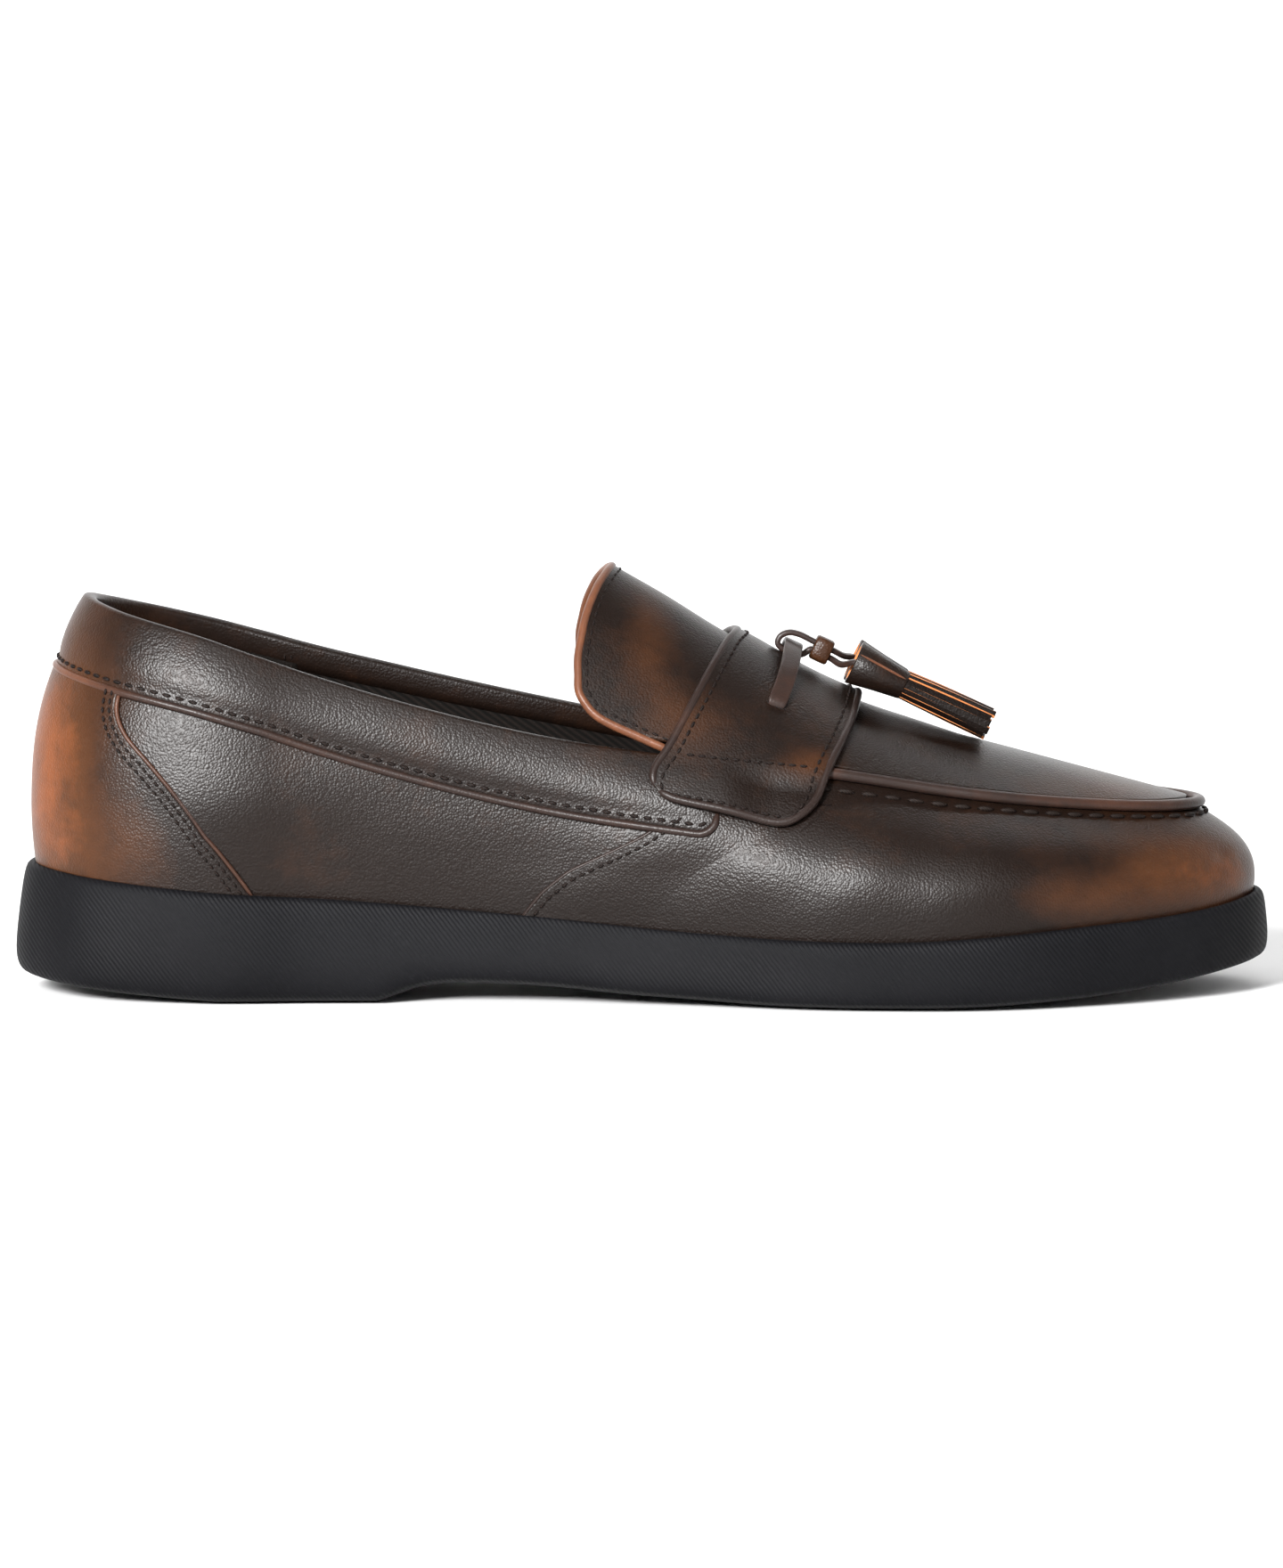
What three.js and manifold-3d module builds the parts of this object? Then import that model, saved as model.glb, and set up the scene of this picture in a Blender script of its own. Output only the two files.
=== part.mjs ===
import * as THREE from 'three';
import { mergeVertices } from 'three/addons/utils/BufferGeometryUtils.js';
import Module from 'manifold-3d';

const manifold = await Module();
manifold.setup();

// Tassel loafer for the right foot, in millimetres.
// +X runs to the toe, +Y to the inner (medial) side and +Z up.
// Stations run along the last from 0 at the back of the heel to 1 at the tip of the toe.

// Main sizes
const LENGTH = 296;
const BALL_WIDTH = 106;
const HEEL_WIDTH = 76;
const BACK_HEIGHT = 92.5;
const TOE_HEIGHT = 43.0;
const TONGUE_HEIGHT = 100.5;
const RIM_BACK_HEIGHT = 30.5;
const UPPER_WALL = 2.0;
const WALL_INSET = 5.2;
const WALL_RISE = 13;
const FEATHER_INSET = 1.5;
const CLEARANCE = 0.3;

// Outsole
const HEEL_ROLL = 3.9;
const ARCH_RISE = 4.3;
const TOE_SPRING = 7.0;
const CUP_DEPTH = 5.0;
const SIDE_SWELL = 2.4;
const TOE_SIDE_SWELL = 1;
const HEEL_FULLNESS = 0.27;
const SIDE_FULLNESS = 0.34;
const RIM_STRIP = 6;
const TREAD_ROUND = 1.2;
const TREAD_EDGE_INSET = 8.5;
const RIM_ROUND = 1.4;
const HEEL_ROLL_END = 0.169;
const SPRING_START = 0.697;
const SPRING_END = 0.98;
const SPRING_CURVE = 2.2;

// Insole and apron
const INSOLE_THICKNESS = 3.0;
const INSOLE_MARGIN = 1.0;
const APRON_THICKNESS = 1.4;
const BINDING_RISE = 0.5;
const SEAM_RADIUS = 1.2;
const SEAM_START = 0.652;
const BAND_END = 0.56;

// Pieces laid over the upper
const BAND_WIDTH = 16;
const BAND_THICKNESS = 1.6;
const COUNTER_THICKNESS = 1.0;
const STRAP_THICKNESS = 1.8;
const OVER_APRON = APRON_THICKNESS + 2.6 * CLEARANCE;
const OVER_BAND = BAND_THICKNESS + 2.7 * CLEARANCE;
const BAND_STEP_END = 0.605;
const PIPING_RISE = 0.7;
const PIPING_WIDTH = 1.1;

// Lace, keeper and tassels
const LACE_WIDTH = 4.4;
const LACE_THICKNESS = 1.4;
const LOOP_WIDTH = 3.2;
const KEEPER_LENGTH = 4.4;
const KEEPER_WALL = 1.1;
const TASSEL_SLOPE = 25;
const TASSEL_SPACING = 13.6;
const CAP_LENGTH = 13.2;
const CAP_WIDE = 10.5;
const CAP_NARROW = 6.6;
const CAP_WALL = 1.1;
const CAP_HOLLOW = 0.6;
const FRINGE_LENGTH = 22.2;
const FRINGE_WIDTH = 7.6;
const FRINGE_STRIPS = 7;
const STRIP_THICKNESS = 1.5;
const STRIP_THINNING = 0.72;
const FRINGE_PACKING = 0.92;

// Where the planes of the sections fan out, round the heel and round the toe
const HEEL_CENTRE = 0.203;
const TOE_CENTRE = 0.75;
const TOE_SWING = 3.0;
const HEEL_REST = 0.23;

// Half widths of the outsole, as shares of half the heel's and the ball's width
const OUTLINE = [
  { at: 0, lateral: 1, medial: 1 },
  { at: 0.065, lateral: 1.043, medial: 1.043 },
  { at: 0.117, lateral: 1.1, medial: 1.1 },
  { at: 0.158, lateral: 1.065, medial: 1.06 },
  { at: 0.203, lateral: 1.013, medial: 0.995 },
  { at: 0.304, lateral: 0.953, medial: 0.876 },
  { at: 0.422, lateral: 0.905, medial: 0.723 },
  { at: 0.541, lateral: 0.96, medial: 0.703 },
  { at: 0.642, lateral: 1.041, medial: 0.821 },
  { at: 0.703, lateral: 1.051, medial: 0.884 },
  { at: 0.75, lateral: 1.045, medial: 0.915 },
  { at: 0.813, lateral: 0.982, medial: 0.955 },
  { at: 0.867, lateral: 0.958, medial: 0.985 },
  { at: 0.917, lateral: 0.965, medial: 0.998 },
  { at: 0.959, lateral: 0.986, medial: 1.003 },
  { at: 1, lateral: 1, medial: 1 },
];

// The topline, which runs on as the apron's seam: its reach as a share of the outline's,
// and how far it has fallen from the back's height to the toe's
const EDGE = [
  { at: 0, lateral: 0.71, medial: 0.71, lateralFall: 0, medialFall: 0 },
  { at: 0.065, lateral: 0.705, medial: 0.705, lateralFall: 0.032, medialFall: 0.032 },
  { at: 0.117, lateral: 0.7, medial: 0.7, lateralFall: 0.091, medialFall: 0.089 },
  { at: 0.158, lateral: 0.715, medial: 0.715, lateralFall: 0.163, medialFall: 0.155 },
  { at: 0.203, lateral: 0.745, medial: 0.745, lateralFall: 0.268, medialFall: 0.238 },
  { at: 0.304, lateral: 0.81, medial: 0.85, lateralFall: 0.458, medialFall: 0.391 },
  { at: 0.422, lateral: 0.83, medial: 0.94, lateralFall: 0.627, medialFall: 0.548 },
  { at: 0.541, lateral: 0.745, medial: 0.93, lateralFall: 0.73, medialFall: 0.69 },
  { at: 0.649, lateral: 0.63, medial: 0.77, lateralFall: 0.806, medialFall: 0.776 },
  { at: 0.75, lateral: 0.575, medial: 0.655, lateralFall: 0.901, medialFall: 0.887 },
  { at: 0.856, lateral: 0.64, medial: 0.63, lateralFall: 0.965, medialFall: 0.96 },
  { at: 0.93, lateral: 0.735, medial: 0.725, lateralFall: 0.994, medialFall: 0.993 },
  { at: 1, lateral: 0.77, medial: 0.77, lateralFall: 1, medialFall: 1 },
];

// The wall of the upper: how far its widest line lies inside the outsole's side and above
// the rim, against their values at the back, and the slope in degrees at its edge
const WALL = [
  { at: 0, inset: 1, rise: 1, slope: 68 },
  { at: 0.203, inset: 0.9615, rise: 1, slope: 72 },
  { at: 0.304, inset: 0.8462, rise: 0.9231, slope: 77 },
  { at: 0.422, inset: 0.6154, rise: 0.8462, slope: 74 },
  { at: 0.541, inset: 0.6154, rise: 0.7308, slope: 60 },
  { at: 0.649, inset: 0.6538, rise: 0.6538, slope: 46 },
  { at: 0.75, inset: 0.6538, rise: 0.5769, slope: 36 },
  { at: 0.9, inset: 0.6154, rise: 0.3462, slope: 33 },
  { at: 1, inset: 0.6154, rise: 0.2615, slope: 32 },
];

// Top of the outsole's rim against its height at the back
const RIM = [
  { at: 0, height: 1 },
  { at: 0.054, height: 0.948 },
  { at: 0.155, height: 0.856 },
  { at: 0.257, height: 0.8 },
  { at: 0.405, height: 0.685 },
  { at: 0.541, height: 0.574 },
  { at: 0.645, height: 0.53 },
  { at: 0.703, height: 0.531 },
  { at: 0.777, height: 0.57 },
  { at: 0.855, height: 0.626 },
  { at: 0.929, height: 0.672 },
  { at: 0.97, height: 0.715 },
  { at: 1, height: 0.765 },
];

// Underside between the heel's breast and the ball, against the rise of the arch
const ARCH = [
  { at: 0.293, height: 0 },
  { at: 0.328, height: 0.84 },
  { at: 0.345, height: 1 },
  { at: 0.372, height: 1 },
  { at: 0.429, height: 0.84 },
  { at: 0.483, height: 0.51 },
  { at: 0.541, height: 0.28 },
  { at: 0.598, height: 0.07 },
  { at: 0.655, height: 0 },
];

// Middle line of the upper from the tongue's tip to the toe's centre
const CREST = [
  { at: 0.44, height: 1.045 },
  { at: 0.472, height: 0.984 },
  { at: 0.514, height: 0.912 },
  { at: 0.5625, height: 0.823 },
  { at: 0.585, height: 0.787 },
  { at: 0.627, height: 0.716 },
  { at: 0.669, height: 0.66 },
  { at: 0.721, height: 0.608 },
  { at: 0.75, height: 0.579 },
];

// Free edge of the tongue, from the collar (0) up to the middle (1)
const TONGUE_EDGE = [
  { up: 0, at: 0.525 },
  { up: 0.04, at: 0.5 },
  { up: 0.08, at: 0.465 },
  { up: 0.12, at: 0.452 },
  { up: 0.21, at: 0.447 },
  { up: 0.36, at: 0.45 },
  { up: 0.59, at: 0.4595 },
  { up: 0.8, at: 0.468 },
  { up: 1, at: 0.472 },
];

// Front edge of the heel counter, from the outsole's rim (0) up to the collar band (1)
const COUNTER_EDGE = [
  { up: 0, at: 0.197 },
  { up: 0.17, at: 0.185 },
  { up: 0.31, at: 0.174 },
  { up: 0.45, at: 0.16 },
  { up: 0.62, at: 0.141 },
  { up: 0.75, at: 0.126 },
  { up: 0.88, at: 0.118 },
  { up: 1, at: 0.117 },
];

// Edges of the saddle strap, from its lower end (0) up to the middle (1)
const STRAP_EDGE = [
  { up: 0, rear: 0.509, front: 0.621 },
  { up: 0.12, rear: 0.503, front: 0.636 },
  { up: 0.35, rear: 0.516, front: 0.6475 },
  { up: 0.48, rear: 0.534, front: 0.657 },
  { up: 0.64, rear: 0.5495, front: 0.6645 },
  { up: 0.8, rear: 0.56, front: 0.668 },
  { up: 1, rear: 0.568, front: 0.67 },
];
const STRAP_SIDE_SHARE = 0.35;
const STRAP_END_REAR = 0.516;
const STRAP_END_FRONT = 0.438;

// Throat of the upper, under the strap
const THROAT_SIDE = 0.532;
const THROAT_MIDDLE = 0.58;
const THROAT_FADE = 0.7;

// Stations, levels up the wall and rows over the top
const HEEL_STEPS = 8;
const MIDDLE_STEPS = 18;
const TOE_STEPS = 10;
const BULGE_LEVEL = 0.3;
const WALL_LEVELS = [0, 0.15, 0.3, 0.45, 0.6, 0.75, 0.88, 1];
const TOP_ROWS = [0, 0.1, 0.24, 0.4, 0.58, 0.78, 1];
const APRON_START = 0.05;

const RIGHT_ANGLE = Math.PI / 2;
const SIDE_SIGN = { lateral: -1, medial: 1 };

function slopes(table, key, column, flatEnds) {
  const last = table.length - 1;
  const step = (i) => table[i + 1][key] - table[i][key];
  const rate = (i) => (table[i + 1][column] - table[i][column]) / step(i);
  return table.map((row, i) => {
    if (i === 0) return flatEnds ? 0 : rate(0);
    if (i === last) return flatEnds ? 0 : rate(last - 1);
    return (rate(i - 1) * step(i) + rate(i) * step(i - 1)) / (step(i - 1) + step(i));
  });
}

// A smooth curve through a table's column
function curve(table, column, { key = 'at', flatEnds = false } = {}) {
  const slope = slopes(table, key, column, flatEnds);
  return (value) => {
    const x = THREE.MathUtils.clamp(value, table[0][key], table.at(-1)[key]);
    let i = 0;
    while (i < table.length - 2 && x > table[i + 1][key]) i += 1;
    const width = table[i + 1][key] - table[i][key];
    const t = (x - table[i][key]) / width;
    const rest = 1 - t;
    return (
      table[i][column] * rest * rest * (1 + 2 * t) +
      table[i + 1][column] * t * t * (3 - 2 * t) +
      slope[i] * width * t * rest * rest -
      slope[i + 1] * width * t * t * rest
    );
  };
}

const outlineShare = {
  lateral: curve(OUTLINE, 'lateral', { flatEnds: true }),
  medial: curve(OUTLINE, 'medial', { flatEnds: true }),
};
const edgeShare = {
  lateral: curve(EDGE, 'lateral', { flatEnds: true }),
  medial: curve(EDGE, 'medial', { flatEnds: true }),
};
const edgeFall = {
  lateral: curve(EDGE, 'lateralFall', { flatEnds: true }),
  medial: curve(EDGE, 'medialFall', { flatEnds: true }),
};
const wallInset = curve(WALL, 'inset');
const wallRise = curve(WALL, 'rise');
const wallSlope = curve(WALL, 'slope');
const rimShare = curve(RIM, 'height');
const archShare = curve(ARCH, 'height');
const crestShare = curve(CREST, 'height');
const counterEdge = curve(COUNTER_EDGE, 'at', { key: 'up' });
const strapRear = curve(STRAP_EDGE, 'rear', { key: 'up', flatEnds: true });
const strapFront = curve(STRAP_EDGE, 'front', { key: 'up', flatEnds: true });
const tongueEdge = curve(TONGUE_EDGE, 'at', { key: 'up', flatEnds: true });

const mix = THREE.MathUtils.lerp;

function halfWidth(at) {
  const share = THREE.MathUtils.smoothstep(at, HEEL_CENTRE, TOE_CENTRE);
  return mix(HEEL_WIDTH, BALL_WIDTH, share) / 2;
}

function swing(at) {
  return TOE_SWING * THREE.MathUtils.smoothstep(at, HEEL_CENTRE, TOE_CENTRE);
}

// The upright half plane of a station: its foot on the middle line, the way it faces and
// how far it reaches to the outsole's side
function plane(at, side) {
  const sign = SIDE_SIGN[side];
  let centre = at;
  let forward = 0;
  let across = halfWidth(at);
  if (at < HEEL_CENTRE) {
    const angle = (at / HEEL_CENTRE) * RIGHT_ANGLE;
    centre = HEEL_CENTRE;
    forward = -Math.cos(angle) * HEEL_CENTRE * LENGTH;
    across = (Math.sin(angle) * HEEL_WIDTH) / 2;
  } else if (at > TOE_CENTRE) {
    const angle = ((at - TOE_CENTRE) / (1 - TOE_CENTRE)) * RIGHT_ANGLE;
    centre = TOE_CENTRE;
    forward = Math.sin(angle) * (1 - TOE_CENTRE) * LENGTH;
    across = (Math.cos(angle) * BALL_WIDTH) / 2;
  }
  const size = Math.hypot(forward, across);
  return {
    x: centre * LENGTH,
    y: swing(centre),
    dx: forward / size,
    dy: (sign * across) / size,
    reach: outlineShare[side](at) * size,
  };
}

function onPlane(p, reach, z) {
  return new THREE.Vector3(p.x + p.dx * reach, p.y + p.dy * reach, z);
}

function rimHeight(x) {
  return RIM_BACK_HEIGHT * rimShare(x / LENGTH);
}

function treadHeight(x) {
  const at = x / LENGTH;
  if (at < HEEL_ROLL_END) return HEEL_ROLL * (1 - at / HEEL_ROLL_END);
  if (at < SPRING_START) return ARCH_RISE * archShare(at);
  return TOE_SPRING * ((at - SPRING_START) / (SPRING_END - SPRING_START)) ** SPRING_CURVE;
}

// One half section of the upper: the feather line in the outsole's cup, the widest line
// and the edge, each as reach and height
function section(at, side) {
  const p = plane(at, side);
  const rim = rimHeight(p.x + p.dx * p.reach);
  const bulge = { r: p.reach - WALL_INSET * wallInset(at), z: rim + WALL_RISE * wallRise(at) };
  const feather = { r: bulge.r - FEATHER_INSET, z: rim - CUP_DEPTH + CLEARANCE };
  const edge = {
    r: p.reach * edgeShare[side](at),
    z: mix(BACK_HEIGHT, TOE_HEIGHT, edgeFall[side](at)),
  };
  return { p, rim, feather, bulge, edge, slope: THREE.MathUtils.degToRad(wallSlope(at)) };
}

function wallProfile(s, level) {
  if (level <= BULGE_LEVEL) {
    const t = level / BULGE_LEVEL;
    return {
      r: mix(s.feather.r, s.bulge.r, Math.sin(t * RIGHT_ANGLE)),
      z: mix(s.feather.z, s.bulge.z, t),
    };
  }
  const t = (level - BULGE_LEVEL) / (1 - BULGE_LEVEL);
  const chord = Math.hypot(s.bulge.r - s.edge.r, s.edge.z - s.bulge.z);
  const lower = { r: s.bulge.r, z: mix(s.bulge.z, s.edge.z, 0.5) };
  const upper = {
    r: s.edge.r + Math.cos(s.slope) * chord * 0.4,
    z: s.edge.z - Math.sin(s.slope) * chord * 0.4,
  };
  const bezier = (key) =>
    (1 - t) ** 3 * s.bulge[key] +
    3 * (1 - t) ** 2 * t * lower[key] +
    3 * (1 - t) * t * t * upper[key] +
    t ** 3 * s.edge[key];
  return { r: bezier('r'), z: bezier('z') };
}

function wallPoint(at, side, level) {
  const s = section(at, side);
  const { r, z } = wallProfile(s, level);
  return onPlane(s.p, r, z);
}

// The top, from the edge (0) to the middle line (1). Past the toe's centre the middle line
// is the slope from that centre to the tip.
function topPoint(at, side, up) {
  const s = section(at, side);
  const middle = TONGUE_HEIGHT * crestShare(Math.min(at, TOE_CENTRE));
  const tip = section(1, side).edge;
  const fall = (tip.z - TONGUE_HEIGHT * crestShare(TOE_CENTRE)) / tip.r;
  const start = at > TOE_CENTRE ? fall * s.p.dx : 0;
  const bend = (s.edge.z - middle - start * s.edge.r) / s.edge.r ** 2;
  const r = s.edge.r * (1 - up);
  return onPlane(s.p, r, middle + start * r + bend * r * r);
}

function stations() {
  const list = [];
  for (let i = 0; i < HEEL_STEPS; i += 1) list.push((HEEL_CENTRE * i) / HEEL_STEPS);
  for (let i = 0; i < MIDDLE_STEPS; i += 1) {
    list.push(mix(HEEL_CENTRE, TOE_CENTRE, i / MIDDLE_STEPS));
  }
  for (let i = 0; i <= TOE_STEPS; i += 1) list.push(mix(TOE_CENTRE, 1, i / TOE_STEPS));
  return list;
}

// Stations from a start on the lateral side round the toe and back on the medial side
function roundToe(start) {
  const list = [start, ...stations().filter((at) => at > start + 0.006)];
  return [
    ...list.map((at) => ({ at, side: 'lateral' })),
    ...list.slice(0, -1).reverse().map((at) => ({ at, side: 'medial' })),
  ];
}

const roundAll = roundToe(0).slice(0, -1);

// A skin is a list of points with the thickness on either side of them, and triangles
function makeSkin() {
  return { points: [], triangles: [] };
}

function addGrid(skin, columns, rows, point, closed = false) {
  const first = skin.points.length;
  for (const column of columns) {
    for (const row of rows) skin.points.push(point(column, row));
  }
  const count = closed ? columns.length : columns.length - 1;
  for (let i = 0; i < count; i += 1) {
    const next = (i + 1) % columns.length;
    for (let j = 0; j < rows.length - 1; j += 1) {
      const a = first + i * rows.length + j;
      const b = first + next * rows.length + j;
      skin.triangles.push([a, b, b + 1], [a, b + 1, a + 1]);
    }
  }
}

function mergePoints({ points, triangles }) {
  const found = new Map();
  const kept = [];
  const index = points.map((point) => {
    const key = point.at.toArray().map((value) => Math.round(value * 200)).join();
    if (!found.has(key)) {
      found.set(key, kept.length);
      kept.push(point);
    }
    return found.get(key);
  });
  const whole = triangles
    .map((corners) => corners.map((corner) => index[corner]))
    .filter(([a, b, c]) => a !== b && b !== c && c !== a);
  return { points: kept, triangles: whole };
}

function pointNormals({ points, triangles }) {
  const normals = points.map(() => new THREE.Vector3());
  for (const [a, b, c] of triangles) {
    const ab = points[b].at.clone().sub(points[a].at);
    const ac = points[c].at.clone().sub(points[a].at);
    const area = ab.cross(ac);
    for (const corner of [a, b, c]) normals[corner].add(area);
  }
  return normals.map((normal) => normal.normalize());
}

function openEdges(triangles) {
  const edges = new Map();
  for (const [a, b, c] of triangles) {
    for (const [from, to] of [[a, b], [b, c], [c, a]]) edges.set(`${from},${to}`, [from, to]);
  }
  return [...edges.values()].filter(([from, to]) => !edges.has(`${to},${from}`));
}

function geometryOf(points, triangles) {
  const volume = triangles.reduce(
    (sum, [a, b, c]) => sum + points[a].dot(points[b].clone().cross(points[c])),
    0,
  );
  const outward = volume > 0 ? triangles : triangles.map(([a, b, c]) => [a, c, b]);
  const geometry = new THREE.BufferGeometry();
  const values = points.flatMap((point) => point.toArray());
  geometry.setAttribute('position', new THREE.Float32BufferAttribute(values, 3));
  geometry.setIndex(outward.flat());
  return geometry;
}

// A wall round a skin: its points moved out and in, closed along every open edge
function thicken(rawSkin, turned = 1) {
  const skin = mergePoints(rawSkin);
  const normals = pointNormals(skin);
  const count = skin.points.length;
  const moved = (key, sign) =>
    skin.points.map((point, i) =>
      point.at.clone().addScaledVector(normals[i], sign * turned * point[key]),
    );
  const points = [...moved('out', 1), ...moved('in', -1)];
  const triangles = [
    ...skin.triangles,
    ...skin.triangles.map(([a, b, c]) => [a + count, c + count, b + count]),
  ];
  for (const [from, to] of openEdges(skin.triangles)) {
    triangles.push([to, from, from + count], [to, from + count, to + count]);
  }
  return geometryOf(points, triangles);
}

// A closed body whose every half section is the same list of reach and height
function sectionBody(profile) {
  const skin = makeSkin();
  const rows = [...profile(roundAll[0].at, roundAll[0].side).keys()];
  addGrid(
    skin,
    roundAll,
    rows,
    ({ at, side }, row) => {
      const { p, r, z } = profile(at, side)[row];
      return { at: onPlane(p, r, z) };
    },
    true,
  );
  const { points, triangles } = mergePoints(skin);
  return geometryOf(points.map((point) => point.at), triangles);
}

// The outsole from the middle of its tread, round its side and rim, to the cup's floor
function outsoleProfile(at, side) {
  const s = section(at, side);
  const { p, rim } = s;
  const swell = p.reach;
  const ground = (r) => treadHeight(p.x + p.dx * r);
  const treadEnd = swell - TREAD_EDGE_INSET;
  const low = ground(treadEnd);
  const toSide = THREE.MathUtils.smoothstep(at, 0, HEEL_CENTRE);
  const widest = low + mix(HEEL_FULLNESS, SIDE_FULLNESS, toSide) * (rim - low);
  const fullness = Math.min(widest, rim - RIM_STRIP);
  const cupWall = (z) => {
    const t = THREE.MathUtils.clamp((z - s.feather.z) / (s.bulge.z - s.feather.z), 0, 1);
    return mix(s.feather.r, s.bulge.r, Math.sin(t * RIGHT_ANGLE)) + CLEARANCE;
  };
  const lip = cupWall(rim);
  const floor = rim - CUP_DEPTH;
  const slimming = THREE.MathUtils.smoothstep(at, 0.3, 0.7);
  const shoulder = swell - mix(SIDE_SWELL, TOE_SIDE_SWELL, slimming);
  return [
    { r: 0, z: ground(0) },
    { r: treadEnd * 0.5, z: ground(treadEnd * 0.5) },
    { r: treadEnd, z: low },
    { r: mix(treadEnd, swell, 0.72), z: low + TREAD_ROUND },
    { r: mix(treadEnd, swell, 0.94), z: mix(low, fullness, 0.4) },
    { r: swell, z: fullness },
    { r: mix(swell, shoulder, 0.45), z: mix(fullness, rim, 0.5) },
    { r: shoulder, z: rim - RIM_ROUND },
    { r: mix(lip, shoulder, 0.6), z: rim },
    { r: lip, z: rim },
    { r: cupWall(floor), z: floor },
    { r: insoleReach(s), z: floorHeight(p.x + p.dx * insoleReach(s)) },
    { r: insoleReach(s) * 0.5, z: floorHeight(p.x + p.dx * insoleReach(s) * 0.5) },
    { r: 0, z: floorHeight(p.x) },
  ].map((point) => ({ p, ...point }));
}

function floorHeight(x) {
  return rimHeight(x) - CUP_DEPTH;
}

function insoleReach({ feather }) {
  return feather.r - UPPER_WALL - INSOLE_MARGIN;
}

function insoleProfile(at, side) {
  const s = section(at, side);
  const { p } = s;
  const reach = insoleReach(s);
  const bottom = (r) => floorHeight(p.x + p.dx * r) + CLEARANCE;
  const top = (r) => bottom(r) + INSOLE_THICKNESS;
  return [
    { r: 0, z: bottom(0) },
    { r: reach * 0.5, z: bottom(reach * 0.5) },
    { r: reach, z: bottom(reach) },
    { r: reach, z: top(reach) },
    { r: reach * 0.5, z: top(reach * 0.5) },
    { r: 0, z: top(0) },
  ].map((point) => ({ p, ...point }));
}

// Rows over the top lean back to the throat, and straighten towards the toe
function leaned(at, up, middle) {
  const fade = 1 - THREE.MathUtils.smoothstep(at, THROAT_SIDE, THROAT_FADE);
  return at + (middle - THROAT_SIDE) * up * fade;
}

function upper() {
  const skin = makeSkin();
  const depth = { out: 0, in: UPPER_WALL };
  const wall = ({ at, side }, level) => ({ at: wallPoint(at, side, level), ...depth });
  const columns = [
    ...roundToe(THROAT_SIDE),
    ...roundAll
      .filter(({ at, side }) => at < THROAT_SIDE - 0.006 && side === 'medial'),
    ...roundAll
      .filter(({ at, side }) => at < THROAT_SIDE - 0.006 && side === 'lateral'),
  ];
  addGrid(skin, columns, WALL_LEVELS, wall, true);
  const top = ({ at, side }, up) => ({
    at: topPoint(leaned(at, up, THROAT_MIDDLE), side, up),
    ...depth,
  });
  addGrid(skin, roundToe(THROAT_SIDE), TOP_ROWS, top);
  return thicken(skin);
}

// Apron and tongue in one: the sheet starts at the tongue's free edge, which is bound, and
// its first columns run from that edge (0) towards the throat (1)
function apronTongue() {
  const skin = makeSkin();
  const tongue = [0, 0.04, 0.09, 0.4, 0.75];
  const columns = [
    ...tongue.map((back) => ({ back, at: THROAT_SIDE, side: 'lateral' })),
    ...roundToe(THROAT_SIDE),
    ...tongue.map((back) => ({ back, at: THROAT_SIDE, side: 'medial' })).reverse(),
  ];
  const rows = [APRON_START, 0.08, 0.13, 0.24, 0.4, 0.58, 0.78, 1];
  addGrid(skin, columns, rows, ({ back = 1, at, side }, up) => {
    const front = leaned(at, up, THROAT_MIDDLE);
    const along = mix(tongueEdge(up), front, back);
    const hidden = THREE.MathUtils.smoothstep(up, 0.05, 0.15);
    const edge = back < 0.06 ? BINDING_RISE * hidden : 0;
    return {
      at: topPoint(along, side, up),
      out: CLEARANCE + APRON_THICKNESS + edge,
      in: edge - CLEARANCE,
    };
  });
  return thicken(skin);
}

// The level of the wall at which it is a given height above the floor
function levelAt(at, side, height) {
  const s = section(at, side);
  let low = 0;
  let high = 1;
  for (let i = 0; i < 24; i += 1) {
    const middle = (low + high) / 2;
    if (wallProfile(s, middle).z < height) low = middle;
    else high = middle;
  }
  return (low + high) / 2;
}

function bandLevel(at, side) {
  return levelAt(at, side, section(at, side).edge.z - BAND_WIDTH);
}

// Stations from the end of one side back round the heel to the end of the other
function roundHeel(end) {
  const list = [...stations().filter((at) => at < end - 0.006), end];
  return [
    ...list.slice(1).reverse().map((at) => ({ at, side: 'medial' })),
    ...list.map((at) => ({ at, side: 'lateral' })),
  ];
}

// Padded band below the topline, thickest in the middle, with a piped lower edge
function collarBand() {
  const skin = makeSkin();
  const rows = [
    { up: 0, out: 0.7 },
    { up: 0.06, out: 1.2 },
    { up: 0.14, out: 0.75 },
    { up: 0.5, out: 1 },
    { up: 0.85, out: 0.9 },
    { up: 1, out: 0.5 },
  ];
  addGrid(skin, roundHeel(BAND_END), rows, ({ at, side }, { up, out }) => ({
    at: wallPoint(at, side, mix(bandLevel(at, side), 1, up)),
    out: CLEARANCE + BAND_THICKNESS * out,
    in: -CLEARANCE,
  }));
  return thicken(skin);
}

function heelCounter() {
  const skin = makeSkin();
  const rows = [0, 0.09, 0.17, 0.31, 0.45, 0.62, 0.75, 0.88, 1];
  addGrid(skin, roundHeel(HEEL_CENTRE), rows, ({ at: station, side }, up) => {
    const at = Math.min(station, counterEdge(up));
    const s = section(at, side);
    const low = levelAt(at, side, s.rim + CLEARANCE * 2);
    const high = levelAt(at, side, s.edge.z - BAND_WIDTH - CLEARANCE * 2);
    return {
      at: wallPoint(at, side, mix(low, high, up)),
      out: CLEARANCE + COUNTER_THICKNESS,
      in: -CLEARANCE,
    };
  });
  return thicken(skin);
}

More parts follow.
